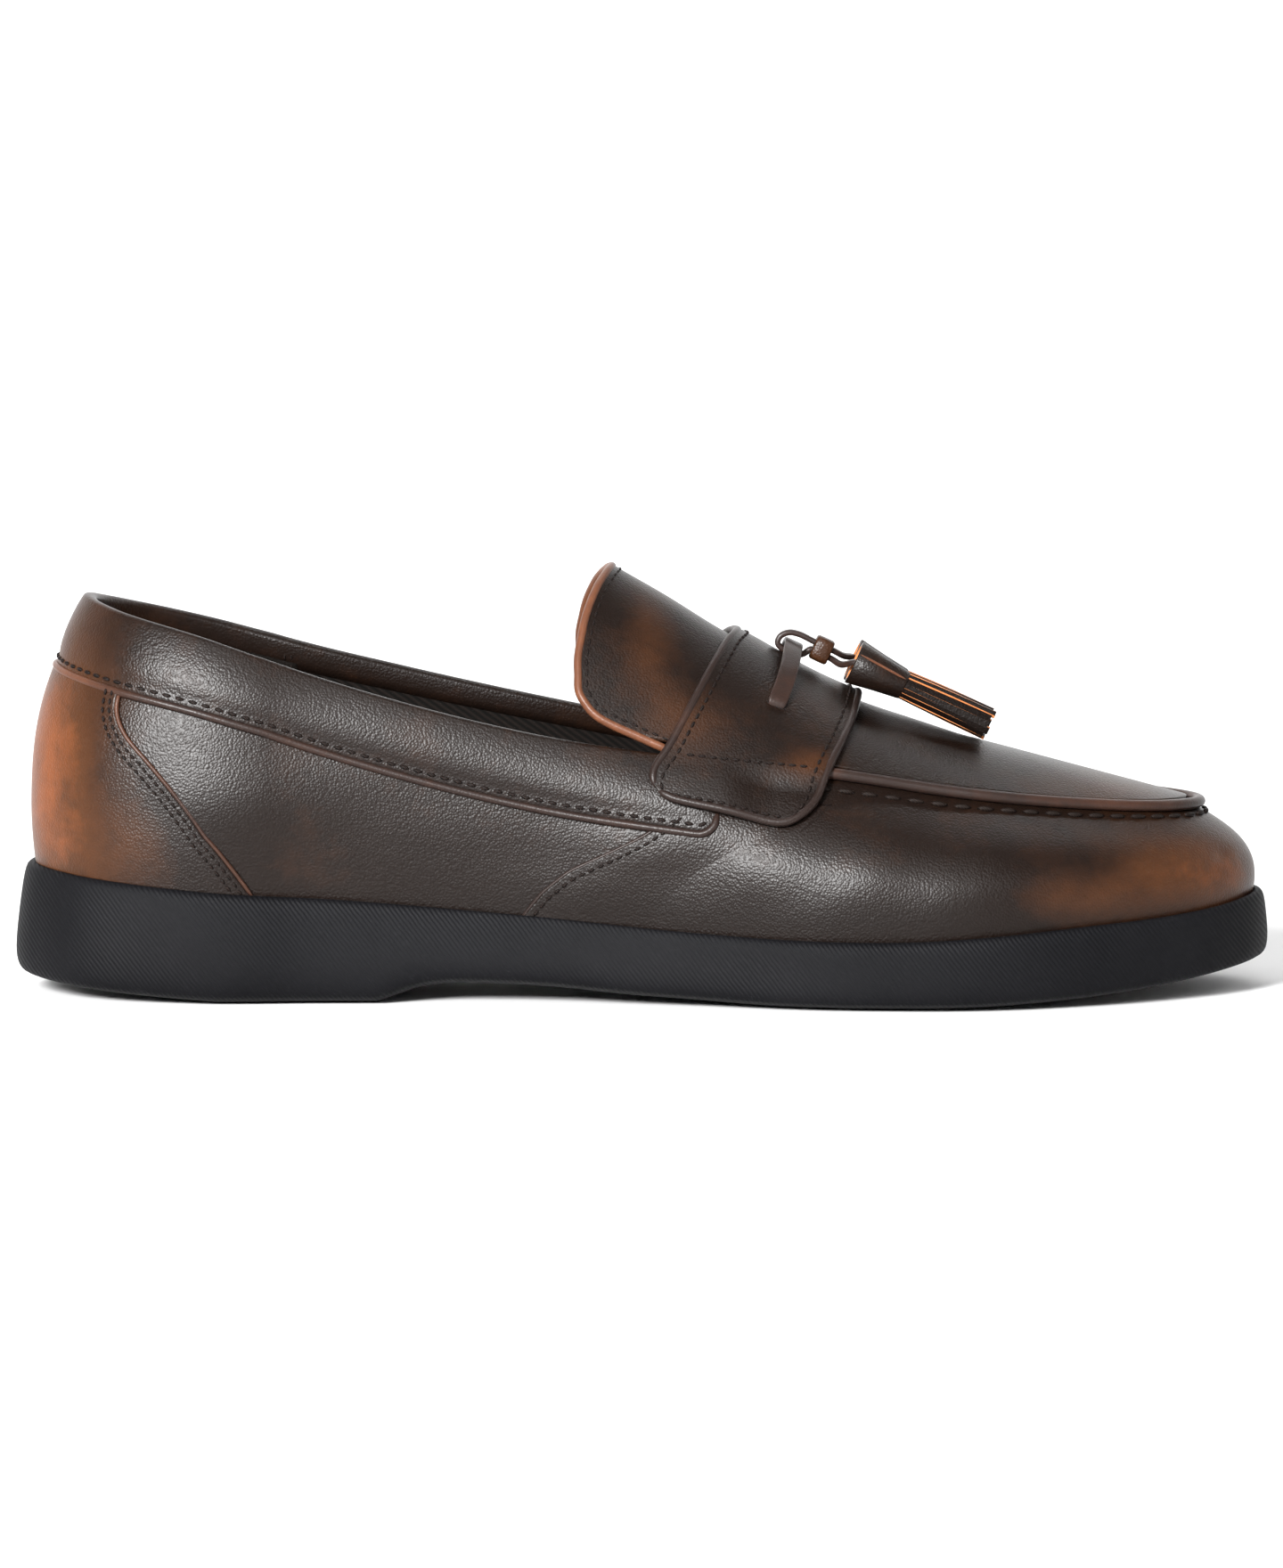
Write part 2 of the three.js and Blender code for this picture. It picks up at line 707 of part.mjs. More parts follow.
// A point of the strap's middle surface: up is 0 at its lower end and 1 in the middle
function strapPoint(side, up, along) {
  const at = mix(strapRear(up), strapFront(up), along);
  if (up > STRAP_SIDE_SHARE) {
    const over = (up - STRAP_SIDE_SHARE) / (1 - STRAP_SIDE_SHARE);
    return { at, over, point: topPoint(at, side, over) };
  }
  const end = BACK_HEIGHT * mix(STRAP_END_REAR, STRAP_END_FRONT, along);
  const low = levelAt(at, side, end);
  return { at, over: 0, point: wallPoint(at, side, mix(low, 1, up / STRAP_SIDE_SHARE)) };
}

// How far the strap stands off the upper: over the collar band at its rear lower corner,
// over the apron on top, and down on the wall elsewhere
function strapGap(at, up) {
  const side = mix(OVER_BAND, CLEARANCE, THREE.MathUtils.smoothstep(at, BAND_END, BAND_STEP_END));
  return mix(side, OVER_APRON, THREE.MathUtils.smoothstep(up, 0.2, STRAP_SIDE_SHARE));
}

function saddleStrap() {
  const skin = makeSkin();
  const rise = [0, 0.025, 0.06, 0.14, 0.24, 0.35, 0.43, 0.51, 0.6, 0.7, 0.8, 0.9];
  const rows = [
    ...rise.map((up) => ({ side: 'lateral', up })),
    { side: 'lateral', up: 1 },
    ...rise.map((up) => ({ side: 'medial', up })).reverse(),
  ];
  const edge = PIPING_WIDTH / (LENGTH * (STRAP_EDGE.at(-1).front - STRAP_EDGE.at(-1).rear));
  const columns = [0, edge, 2 * edge, 0.25, 0.5, 0.75, 1 - 2 * edge, 1 - edge, 1];
  const piping = [-0.4, 1];
  addGrid(skin, columns, rows, (along, { side, up }) => {
    const { at, point } = strapPoint(side, up, along);
    const column = columns.indexOf(along);
    const row = rise.includes(up) ? rise.indexOf(up) : rise.length;
    const fromEdge = Math.min(column, columns.length - 1 - column, row);
    const gap = strapGap(at, up);
    return {
      at: point,
      out: gap + STRAP_THICKNESS + PIPING_RISE * (piping[fromEdge] ?? 0),
      in: -gap,
    };
  });
  return thicken(skin);
}

function smoothPath(rows) {
  return new THREE.CatmullRomCurve3(rows.map(({ x, y, z }) => new THREE.Vector3(x, y, z)));
}

// A bar of flat section along a path, its broad side along a given direction
function flatBar(path, steps, broad, thin, across) {
  const corners = [[-1, -1], [1, -1], [1, 1], [-1, 1]];
  const points = [];
  for (let i = 0; i <= steps; i += 1) {
    const tangent = path.getTangentAt(i / steps);
    const flat = tangent.clone().cross(across).normalize();
    const wide = flat.clone().cross(tangent).normalize();
    for (const [u, v] of corners) {
      points.push(
        path.getPointAt(i / steps)
          .addScaledVector(wide, (u * broad) / 2)
          .addScaledVector(flat, (v * thin) / 2),
      );
    }
  }
  const triangles = [[0, 2, 1], [0, 3, 2]];
  for (let i = 0; i < steps; i += 1) {
    for (let j = 0; j < 4; j += 1) {
      const a = i * 4 + j;
      const b = i * 4 + ((j + 1) % 4);
      triangles.push([a, b, b + 4], [a, b + 4, a + 4]);
    }
  }
  const end = steps * 4;
  triangles.push([end, end + 1, end + 2], [end, end + 2, end + 3]);
  return geometryOf(points, triangles);
}

function apronSeam() {
  const sides = 6;
  const path = roundToe(SEAM_START);
  const lean = Math.PI / 3;
  const ring = ({ at, side }) => {
    const { p, edge } = section(at, side);
    const radial = new THREE.Vector3(p.dx, p.dy, 0);
    const up = new THREE.Vector3(0, 0, 1);
    const out = radial.clone().multiplyScalar(Math.cos(lean)).addScaledVector(up, Math.sin(lean));
    const sideways = radial.clone().multiplyScalar(Math.sin(lean)).addScaledVector(up, -Math.cos(lean));
    const centre = onPlane(p, edge.r, edge.z).addScaledVector(out, CLEARANCE + SEAM_RADIUS);
    return [...Array(sides).keys()].map((i) => {
      const angle = (2 * Math.PI * i) / sides;
      return centre.clone()
        .addScaledVector(out, SEAM_RADIUS * Math.sin(angle))
        .addScaledVector(sideways, SEAM_RADIUS * Math.cos(angle));
    });
  };
  const points = path.flatMap(ring);
  const triangles = [];
  for (let i = 0; i < path.length - 1; i += 1) {
    for (let j = 0; j < sides; j += 1) {
      const a = i * sides + j;
      const b = i * sides + ((j + 1) % sides);
      triangles.push([a, b, b + sides], [a, b + sides, a + sides]);
    }
  }
  const end = (path.length - 1) * sides;
  for (let j = 1; j < sides - 1; j += 1) {
    triangles.push([0, j + 1, j], [end, end + j, end + j + 1]);
  }
  return geometryOf(points, triangles);
}

// Places on the lace are given along the middle line and above the strap at the lace
const LACE_X = 0.6206 * LENGTH;

// A point above the strap's outer face
function overStrap(x, side, over, lift) {
  const at = x / LENGTH;
  const step = 0.004;
  const point = topPoint(at, side, over);
  const ahead = topPoint(at + step, side, over).sub(point);
  const inward = topPoint(at, side, Math.min(over + step, 1));
  const outward = topPoint(at, side, Math.min(over + step, 1) - step);
  const normal = ahead.cross(inward.sub(outward)).normalize();
  const height = (OVER_APRON + STRAP_THICKNESS + lift) * Math.sign(normal.z);
  const upright = new THREE.Vector3(0, normal.y, normal.z);
  return point.addScaledVector(upright, height / upright.lengthSq());
}

const LACE_Z = overStrap(LACE_X, 'lateral', 1, 0).z;

// The lace crosses the strap in a low arch from one slit to the other
function laceBridge() {
  const rows = [
    { x: -4.1, over: 0.34, lift: 1 },
    { x: -2.6, over: 0.45, lift: 2.4 },
    { x: -1, over: 0.62, lift: 3.4 },
    { x: -0.3, over: 0.82, lift: 3.5 },
  ];
  const half = (side) => rows.map(({ x, over, lift }) => overStrap(LACE_X + x, side, over, lift));
  const middle = overStrap(LACE_X, 'lateral', 1, 3.4);
  const path = smoothPath([...half('lateral'), middle, ...half('medial').reverse()]);
  return flatBar(path, 18, LACE_WIDTH, LACE_THICKNESS, new THREE.Vector3(1, 0, -0.45));
}

// The frame of a tassel: its origin in the middle of the cap's wide rim
const tasselAxis = new THREE.Vector3(
  Math.cos(THREE.MathUtils.degToRad(TASSEL_SLOPE)),
  0,
  -Math.sin(THREE.MathUtils.degToRad(TASSEL_SLOPE)),
);

function tasselPlace(side) {
  const drop = side === 'lateral' ? -0.2 : 0.2;
  return new THREE.Vector3(
    LACE_X + 14,
    (SIDE_SIGN[side] * TASSEL_SPACING) / 2 + swing(LACE_X / LENGTH),
    LACE_Z - 0.3 - drop,
  );
}

// The loop of lace: from one tassel through the keeper, under the bridge, back over it and
// through the keeper again to the other tassel
function tasselLoop() {
  const outer = tasselPlace('lateral').addScaledVector(tasselAxis, 3);
  const inner = tasselPlace('medial').addScaledVector(tasselAxis, 3);
  const y = swing(LACE_X / LENGTH);
  const at = (x, dy, z) => new THREE.Vector3(LACE_X + x, y + dy, LACE_Z + z);
  return new THREE.CatmullRomCurve3([
    outer,
    outer.clone().addScaledVector(tasselAxis, -2.5).add(new THREE.Vector3(0, 0.8, 0)),
    at(11.2, -3, -0.9),
    at(8.6, -0.2, 0.3),
    at(6.2, 0, 1.5),
    at(4, 0, 2.45),
    at(2.4, 0, 1.4),
    at(0.4, 0, 1.1),
    at(-2.1, 0, 2.2),
    at(-3.8, 0, 3.8),
    at(-3.2, 0, 5.5),
    at(-1.2, 0, 6.4),
    at(1.2, 0, 6),
    at(4.7, 0, 4.3),
    at(7, 0, 3.2),
    at(9.3, 0, 2.1),
    at(11.8, 3, 0.7),
    inner.clone().addScaledVector(tasselAxis, -2.5).add(new THREE.Vector3(0, -0.8, 0.6)),
    inner,
  ]);
}

function keeper() {
  const high = 2 * LACE_THICKNESS + 0.9 + 2 * KEEPER_WALL;
  const wide = LOOP_WIDTH + 2 * CLEARANCE + 2 * KEEPER_WALL;
  const outline = (width, height) => {
    const [u, v] = [width / 2, height / 2];
    return [[-u, -v], [u, -v], [u, v], [-u, v]].map(([a, b]) => new THREE.Vector2(a, b));
  };
  const shape = new THREE.Shape(outline(wide, high));
  shape.holes.push(new THREE.Path(outline(wide - 2 * KEEPER_WALL, high - 2 * KEEPER_WALL)));
  const ring = new THREE.ExtrudeGeometry(shape, { depth: KEEPER_LENGTH, bevelEnabled: false });
  ring.translate(0, 0, -KEEPER_LENGTH / 2);
  ring.rotateY(RIGHT_ANGLE);
  ring.rotateX(RIGHT_ANGLE);
  ring.rotateY(THREE.MathUtils.degToRad(TASSEL_SLOPE));
  ring.deleteAttribute('normal');
  ring.deleteAttribute('uv');
  ring.translate(LACE_X + 6.6, swing(LACE_X / LENGTH), LACE_Z + 2.3);
  return ring;
}

function solidOf(geometry) {
  const bare = new THREE.BufferGeometry();
  bare.setAttribute('position', geometry.getAttribute('position').clone());
  if (geometry.index) bare.setIndex(geometry.index.clone());
  const merged = mergeVertices(bare, 1e-4);
  return new manifold.Manifold(
    new manifold.Mesh({
      numProp: 3,
      vertProperties: new Float32Array(merged.getAttribute('position').array),
      triVerts: new Uint32Array(merged.index.array),
    }),
  );
}

function geometryOfSolid(solid) {
  const mesh = solid.getMesh();
  const geometry = new THREE.BufferGeometry();
  geometry.setAttribute('position', new THREE.Float32BufferAttribute(mesh.vertProperties, 3));
  geometry.setIndex([...mesh.triVerts]);
  return geometry;
}

// Leather cap, hollow from its wide rim, and the strips of the fringe, cut apart from the
// cap to their free ends
function tassel(side) {
  const wide = CAP_WIDE / 2;
  const narrow = CAP_NARROW / 2;
  const hollow = CAP_LENGTH * CAP_HOLLOW;
  const innerEnd = mix(wide, narrow, CAP_HOLLOW) - CAP_WALL;
  const cap = new THREE.LatheGeometry(
    [
      [0, hollow],
      [innerEnd, hollow],
      [wide - CAP_WALL, 0],
      [wide, 0],
      [narrow, CAP_LENGTH],
      [0, CAP_LENGTH],
    ].map(([r, h]) => new THREE.Vector2(r, h)),
    14,
  );
  let solid = solidOf(cap);
  for (let i = 0; i < FRINGE_STRIPS; i += 1) {
    const share = i / (FRINGE_STRIPS - 1);
    const strip = new THREE.BoxGeometry(1, FRINGE_LENGTH + 1, 1, 1, 3, 1);
    const place = strip.getAttribute('position');
    const height = share - 0.5;
    const round = Math.sqrt(1 - (2 * share - 1) ** 2 * STRIP_THINNING);
    for (let k = 0; k < place.count; k += 1) {
      const out = place.getY(k) / (FRINGE_LENGTH + 1) + 0.5;
      const width = mix(CAP_NARROW, FRINGE_WIDTH, out) * FRINGE_PACKING;
      const stack = mix(CAP_NARROW - STRIP_THICKNESS, FRINGE_WIDTH - STRIP_THICKNESS, out);
      const thin = mix(1, STRIP_THINNING, out) * STRIP_THICKNESS * 0.9;
      place.setX(k, place.getX(k) * width * round);
      place.setZ(k, place.getZ(k) * thin + height * stack * FRINGE_PACKING);
      place.setY(k, CAP_LENGTH - 1 + out * (FRINGE_LENGTH + 1));
    }
    solid = solid.add(solidOf(strip));
  }
  const geometry = geometryOfSolid(solid);
  geometry.rotateZ(-RIGHT_ANGLE);
  geometry.rotateY(THREE.MathUtils.degToRad(TASSEL_SLOPE));
  const place = tasselPlace(side);
  geometry.translate(place.x, place.y, place.z);
  return geometry;
}

const material = {
  rubber: new THREE.MeshStandardMaterial({ color: '#333336', roughness: 0.75, metalness: 0 }),
  leather: new THREE.MeshStandardMaterial({ color: '#463630', roughness: 0.45, metalness: 0 }),
  apron: new THREE.MeshStandardMaterial({ color: '#4a3b37', roughness: 0.5, metalness: 0 }),
  lining: new THREE.MeshStandardMaterial({ color: '#231b18', roughness: 0.8, metalness: 0 }),
  counter: new THREE.MeshStandardMaterial({ color: '#774e3a', roughness: 0.45, metalness: 0 }),
  band: new THREE.MeshStandardMaterial({ color: '#5b4a44', roughness: 0.5, metalness: 0 }),
  strap: new THREE.MeshStandardMaterial({ color: '#5f514c', roughness: 0.5, metalness: 0 }),
  tassel: new THREE.MeshStandardMaterial({ color: '#231813', roughness: 0.5, metalness: 0 }),
};

function named(name, geometry, finish) {
  const mesh = new THREE.Mesh(geometry, finish);
  mesh.name = name;
  return mesh;
}

const shoe = new THREE.Group();
shoe.position.x = -HEEL_REST * LENGTH;
shoe.add(
  named('outsole', sectionBody(outsoleProfile), material.rubber),
  named('insole', sectionBody(insoleProfile), material.lining),
  named('upper', upper(), material.leather),
  named('apron_tongue', apronTongue(), material.apron),
  named('apron_seam', apronSeam(), material.leather),
  named('collar_band', collarBand(), material.band),
  named('heel_counter', heelCounter(), material.counter),
  named('saddle_strap', saddleStrap(), material.strap),
  named('lace_bridge', laceBridge(), material.strap),
  named(
    'tassel_loop',
    flatBar(tasselLoop(), 46, LOOP_WIDTH, LACE_THICKNESS, new THREE.Vector3(0, 1, 0)),
    material.strap,
  ),
  named('keeper', keeper(), material.tassel),
  named('tassel_outer', tassel('lateral'), material.tassel),
  named('tassel_inner', tassel('medial'), material.tassel),
);

export default shoe;
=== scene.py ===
"""A right-foot tassel loafer in burnished brown leather on a dark rubber cup sole.

Lengths are worked out in millimetres from the back of the heel, and turned to metres in the
row frame when a mesh is made. A station runs along the last from 0 at the heel to 1 at the
toe, and a sign says which side it is on, -1 for the outer side and 1 for the inner side.
"""

import logging
import math
from dataclasses import dataclass
from enum import Enum

import bmesh
import bpy
import numpy as np
from mathutils import Matrix, Vector


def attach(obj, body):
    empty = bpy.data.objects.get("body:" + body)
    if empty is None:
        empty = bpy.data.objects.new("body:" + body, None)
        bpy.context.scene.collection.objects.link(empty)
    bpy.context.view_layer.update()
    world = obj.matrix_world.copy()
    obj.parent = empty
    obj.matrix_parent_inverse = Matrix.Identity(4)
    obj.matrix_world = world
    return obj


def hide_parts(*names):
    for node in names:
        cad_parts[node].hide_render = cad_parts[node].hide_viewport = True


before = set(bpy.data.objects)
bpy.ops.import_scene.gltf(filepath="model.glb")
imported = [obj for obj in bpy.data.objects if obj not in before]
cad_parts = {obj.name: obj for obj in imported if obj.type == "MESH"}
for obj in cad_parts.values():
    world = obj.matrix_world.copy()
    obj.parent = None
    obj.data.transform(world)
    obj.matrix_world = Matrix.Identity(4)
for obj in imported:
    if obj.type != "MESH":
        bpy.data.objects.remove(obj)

LOG = logging.getLogger("loafer")
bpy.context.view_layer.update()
MM = 0.001
# Length of one band of the wave texture at scale 1
WAVE = 0.314
Array = np.ndarray


class Slot(Enum):
    """The record's material slots."""

    RUBBER = "rubber"
    LINING = "lining"
    LEATHER = "leather"
    APRON = "apron_leather"
    BAND = "band_leather"
    COUNTER = "counter_leather"
    STRAP = "strap_leather"
    TASSEL = "tassel_leather"


def smoothstep(value: Array, start: float, end: float) -> Array:
    """A soft step.

    Args:
        value: Where to read it.
        start: Where it leaves 0.
        end: Where it reaches 1.

    Returns:
        The step's height, from 0 to 1.
    """
    t = np.clip((np.asarray(value, float) - start) / (end - start), 0, 1)
    return t * t * (3 - 2 * t)


def mix(a: Array, b: Array, share: Array) -> Array:
    """Goes from a to b by a share.

    Args:
        a: Where it starts.
        b: Where it ends.
        share: How far it goes, from 0 to 1.

    Returns:
        The values between them.
    """
    return a + (b - a) * share


def unit(vectors: Array) -> Array:
    """Gives each vector a length of 1.

    Args:
        vectors: Vectors along the last axis.

    Returns:
        The unit vectors.
    """
    return vectors / np.maximum(np.linalg.norm(vectors, axis=-1, keepdims=True), 1e-9)


@dataclass(frozen=True)
class Curve:
    """A smooth curve through the rows of a table."""

    keys: tuple[float, ...]
    values: tuple[float, ...]
    flat_ends: bool = False

    @classmethod
    def of(cls, table: tuple, column: int, flat_ends: bool = False) -> "Curve":
        """Takes one column of a table.

        Args:
            table: Rows, each starting with its key.
            column: The column to follow.
            flat_ends: True where the curve is level at both ends.

        Returns:
            The curve.
        """
        keys = tuple(row[0] for row in table)
        return cls(keys, tuple(row[column] for row in table), flat_ends)

    def slopes(self) -> Array:
        """Slope of the curve at each row.

        Returns:
            The slopes.
        """
        step = np.diff(np.array(self.keys))
        rate = np.diff(np.array(self.values)) / step
        inner = (rate[:-1] * step[1:] + rate[1:] * step[:-1]) / (step[:-1] + step[1:])
        first, last = (0.0, 0.0) if self.flat_ends else (rate[0], rate[-1])
        return np.concatenate([[first], inner, [last]])

    def __call__(self, value: Array) -> Array:
        """Height of the curve.

        Args:
            value: Keys to read it at, held to the table's ends.

        Returns:
            The heights.
        """
        keys, values, slope = np.array(self.keys), np.array(self.values), self.slopes()
        x = np.clip(value, keys[0], keys[-1])
        i = np.clip(np.searchsorted(keys, x) - 1, 0, len(keys) - 2)
        width = keys[i + 1] - keys[i]
        t = (x - keys[i]) / width
        rest = 1 - t
        return (
            values[i] * rest * rest * (1 + 2 * t)
            + values[i + 1] * t * t * (3 - 2 * t)
            + slope[i] * width * t * rest * rest
            - slope[i + 1] * width * t * t * rest
        )


# Half widths of the outsole at each station: outer side, inner side
OUTLINE = (
    (0, 1, 1),
    (0.065, 1.043, 1.043),
    (0.117, 1.1, 1.1),
    (0.158, 1.065, 1.06),
    (0.203, 1.013, 0.995),
    (0.304, 0.953, 0.876),
    (0.422, 0.905, 0.723),
    (0.541, 0.96, 0.703),
    (0.642, 1.041, 0.821),
    (0.703, 1.051, 0.884),
    (0.75, 1.045, 0.915),
    (0.813, 0.982, 0.955),
    (0.867, 0.958, 0.985),
    (0.917, 0.965, 0.998),
    (0.959, 0.986, 1.003),
    (1, 1, 1),
)

# The topline: its reach on each side, then how far it has fallen on each side
EDGE = (
    (0, 0.71, 0.71, 0, 0),
    (0.065, 0.705, 0.705, 0.032, 0.032),
    (0.117, 0.7, 0.7, 0.091, 0.089),
    (0.158, 0.715, 0.715, 0.163, 0.155),
    (0.203, 0.745, 0.745, 0.268, 0.238),
    (0.304, 0.81, 0.85, 0.458, 0.391),
    (0.422, 0.83, 0.94, 0.627, 0.548),
    (0.541, 0.745, 0.93, 0.73, 0.69),
    (0.649, 0.63, 0.77, 0.806, 0.776),
    (0.75, 0.575, 0.655, 0.901, 0.887),
    (0.856, 0.64, 0.63, 0.965, 0.96),
    (0.93, 0.735, 0.725, 0.994, 0.993),
    (1, 0.77, 0.77, 1, 1),
)

# The wall: how far its widest line lies inside the sole and above the rim, and its slope
WALL = (
    (0, 5.2, 13, 68),
    (0.203, 5, 13, 72),
    (0.304, 4.4, 12, 77),
    (0.422, 3.2, 11, 74),
    (0.541, 3.2, 9.5, 60),
    (0.649, 3.4, 8.5, 46),
    (0.75, 3.4, 7.5, 36),
    (0.9, 3.2, 4.5, 33),
    (1, 3.2, 3.4, 32),
)

# Height of the sole's rim at each station, as a share of its height at the heel
RIM = (
    (0, 1),
    (0.054, 0.948),
    (0.155, 0.856),
    (0.257, 0.8),
    (0.405, 0.685),
    (0.541, 0.574),
    (0.645, 0.53),
    (0.703, 0.531),
    (0.777, 0.57),
    (0.855, 0.626),
    (0.929, 0.672),
    (0.97, 0.715),
    (1, 0.765),
)

# Height of the arch at each station, as a share of its rise
ARCH = (
    (0.293, 0),
    (0.328, 0.84),
    (0.345, 1),
    (0.372, 1),
    (0.429, 0.84),
    (0.483, 0.51),
    (0.541, 0.28),
    (0.598, 0.07),
    (0.655, 0),
)

# Height of the top's middle line at each station, as a share of the tongue's
CREST = (
    (0.44, 1.045),
    (0.472, 0.984),
    (0.514, 0.912),
    (0.5625, 0.823),
    (0.585, 0.787),
    (0.627, 0.716),
    (0.669, 0.66),
    (0.721, 0.608),
    (0.75, 0.579),
)

# Free edge of the tongue, from the collar up to the middle line
TONGUE_EDGE = (
    (0, 0.525),
    (0.04, 0.5),
    (0.08, 0.465),
    (0.12, 0.452),
    (0.21, 0.447),
    (0.36, 0.45),
    (0.59, 0.4595),
    (0.8, 0.468),
    (1, 0.472),
)

# Front edge of the heel counter, from the rim up to the collar band
COUNTER_EDGE = (
    (0, 0.197),
    (0.17, 0.185),
    (0.31, 0.174),
    (0.45, 0.16),
    (0.62, 0.141),
    (0.75, 0.126),
    (0.88, 0.118),
    (1, 0.117),
)

# Rear and front edges of the strap, from its lower end up to the middle line
STRAP_EDGE = (
    (0, 0.509, 0.621),
    (0.12, 0.503, 0.636),
    (0.35, 0.516, 0.6475),
    (0.48, 0.534, 0.657),
    (0.64, 0.5495, 0.6645),
    (0.8, 0.56, 0.668),
    (1, 0.568, 0.67),
)


@dataclass
class Plane:
    """Upright half planes of the last, and how far each reaches to the sole's side."""

    x: Array
    y: Array
    dx: Array
    dy: Array
    reach: Array

    def spread(self) -> "Plane":
        """Adds an axis, so that each plane can carry a row of points.

        Returns:
            The same planes.
        """
        return Plane(*(value[:, None] for value in vars(self).values()))

    def at(self, r: Array, z: Array) -> Array:
        """Points on the planes.

        Args:
            r: Distance from the middle line.
            z: Height.

        Returns:
            The points, in millimetres from the back of the heel.
        """
        x = self.x + self.dx * r
        y = self.y + self.dy * r
        return np.stack(np.broadcast_arrays(x, y, z), axis=-1)


@dataclass
class Section:
    """Half sections of the upper: feather line, widest line and edge."""

    plane: Plane
    rim: Array
    feather_r: Array
    feather_z: Array
    bulge_r: Array
    bulge_z: Array
    edge_r: Array
    edge_z: Array
    slope: Array

    def wall(self, level: Array) -> tuple[Array, Array]:
        """The wall's profile.

        Args:
            level: From 0 at the feather line to 1 at the edge.

        Returns:
            Reach and height.
        """
        low = np.clip(level / 0.3, 0, 1)
        low_r = mix(self.feather_r, self.bulge_r, np.sin(low * math.pi / 2))
        low_z = mix(self.feather_z, self.bulge_z, low)
        t = (np.asarray(level) - 0.3) / 0.7
        chord = np.hypot(self.bulge_r - self.edge_r, self.edge_z - self.bulge_z)
        upper_r = self.edge_r + np.cos(self.slope) * chord * 0.4
        upper_z = self.edge_z - np.sin(self.slope) * chord * 0.4
        middle_z = mix(self.bulge_z, self.edge_z, 0.5)
        a, b, c, d = (1 - t) ** 3, 3 * (1 - t) ** 2 * t, 3 * (1 - t) * t * t, t**3
        high_r = a * self.bulge_r + b * self.bulge_r + c * upper_r + d * self.edge_r
        high_z = a * self.bulge_z + b * middle_z + c * upper_z + d * self.edge_z
        below = np.asarray(level) <= 0.3
        return np.where(below, low_r, high_r), np.where(below, low_z, high_z)


@dataclass
class Path:
    """A line on a surface, with the surface's normals along it."""

    points: Array
    normals: Array

    def distances(self) -> Array:
        """Distance along the line at each of its points.

        Returns:
            The distances.
        """
        steps = np.linalg.norm(np.diff(self.points, axis=0), axis=1)
        return np.concatenate([[0.0], np.cumsum(steps)])

    def sampled(self, spots: Array) -> "Path":
        """Reads the line at distances along it.

        Args:
            spots: The distances.

        Returns:
            The line through those points.
        """
        along = self.distances()
        points = np.stack([np.interp(spots, along, self.points[:, k]) for k in range(3)], 1)
        normals = np.stack([np.interp(spots, along, self.normals[:, k]) for k in range(3)], 1)
        return Path(points, unit(normals))

    def even(self, step: float) -> "Path":
        """The line at an even step.

        Args:
            step: The step.

        Returns:
            The line through the new points.
        """
        length = self.distances()[-1]
        return self.sampled(np.linspace(0, length, max(2, round(length / step) + 1)))

    def tangents(self) -> Array:
        """Direction of the line at each of its points.

        Returns:
            Unit vectors.
        """
        return unit(np.gradient(self.points, axis=0))

    def aside(self) -> Array:
        """Direction across the line, in the surface.

        Returns:
            Unit vectors.
        """
        return unit(np.cross(self.tangents(), self.normals))

    def moved(self, lift: float = 0.0, aside: float = 0.0) -> "Path":
        """The line moved off the surface or sideways.

        Args:
            lift: Distance along the normals.
            aside: Distance across the line.

        Returns:
            The moved line.
        """
        shift = self.normals * lift + self.aside() * aside
        return Path(self.points + shift, self.normals)


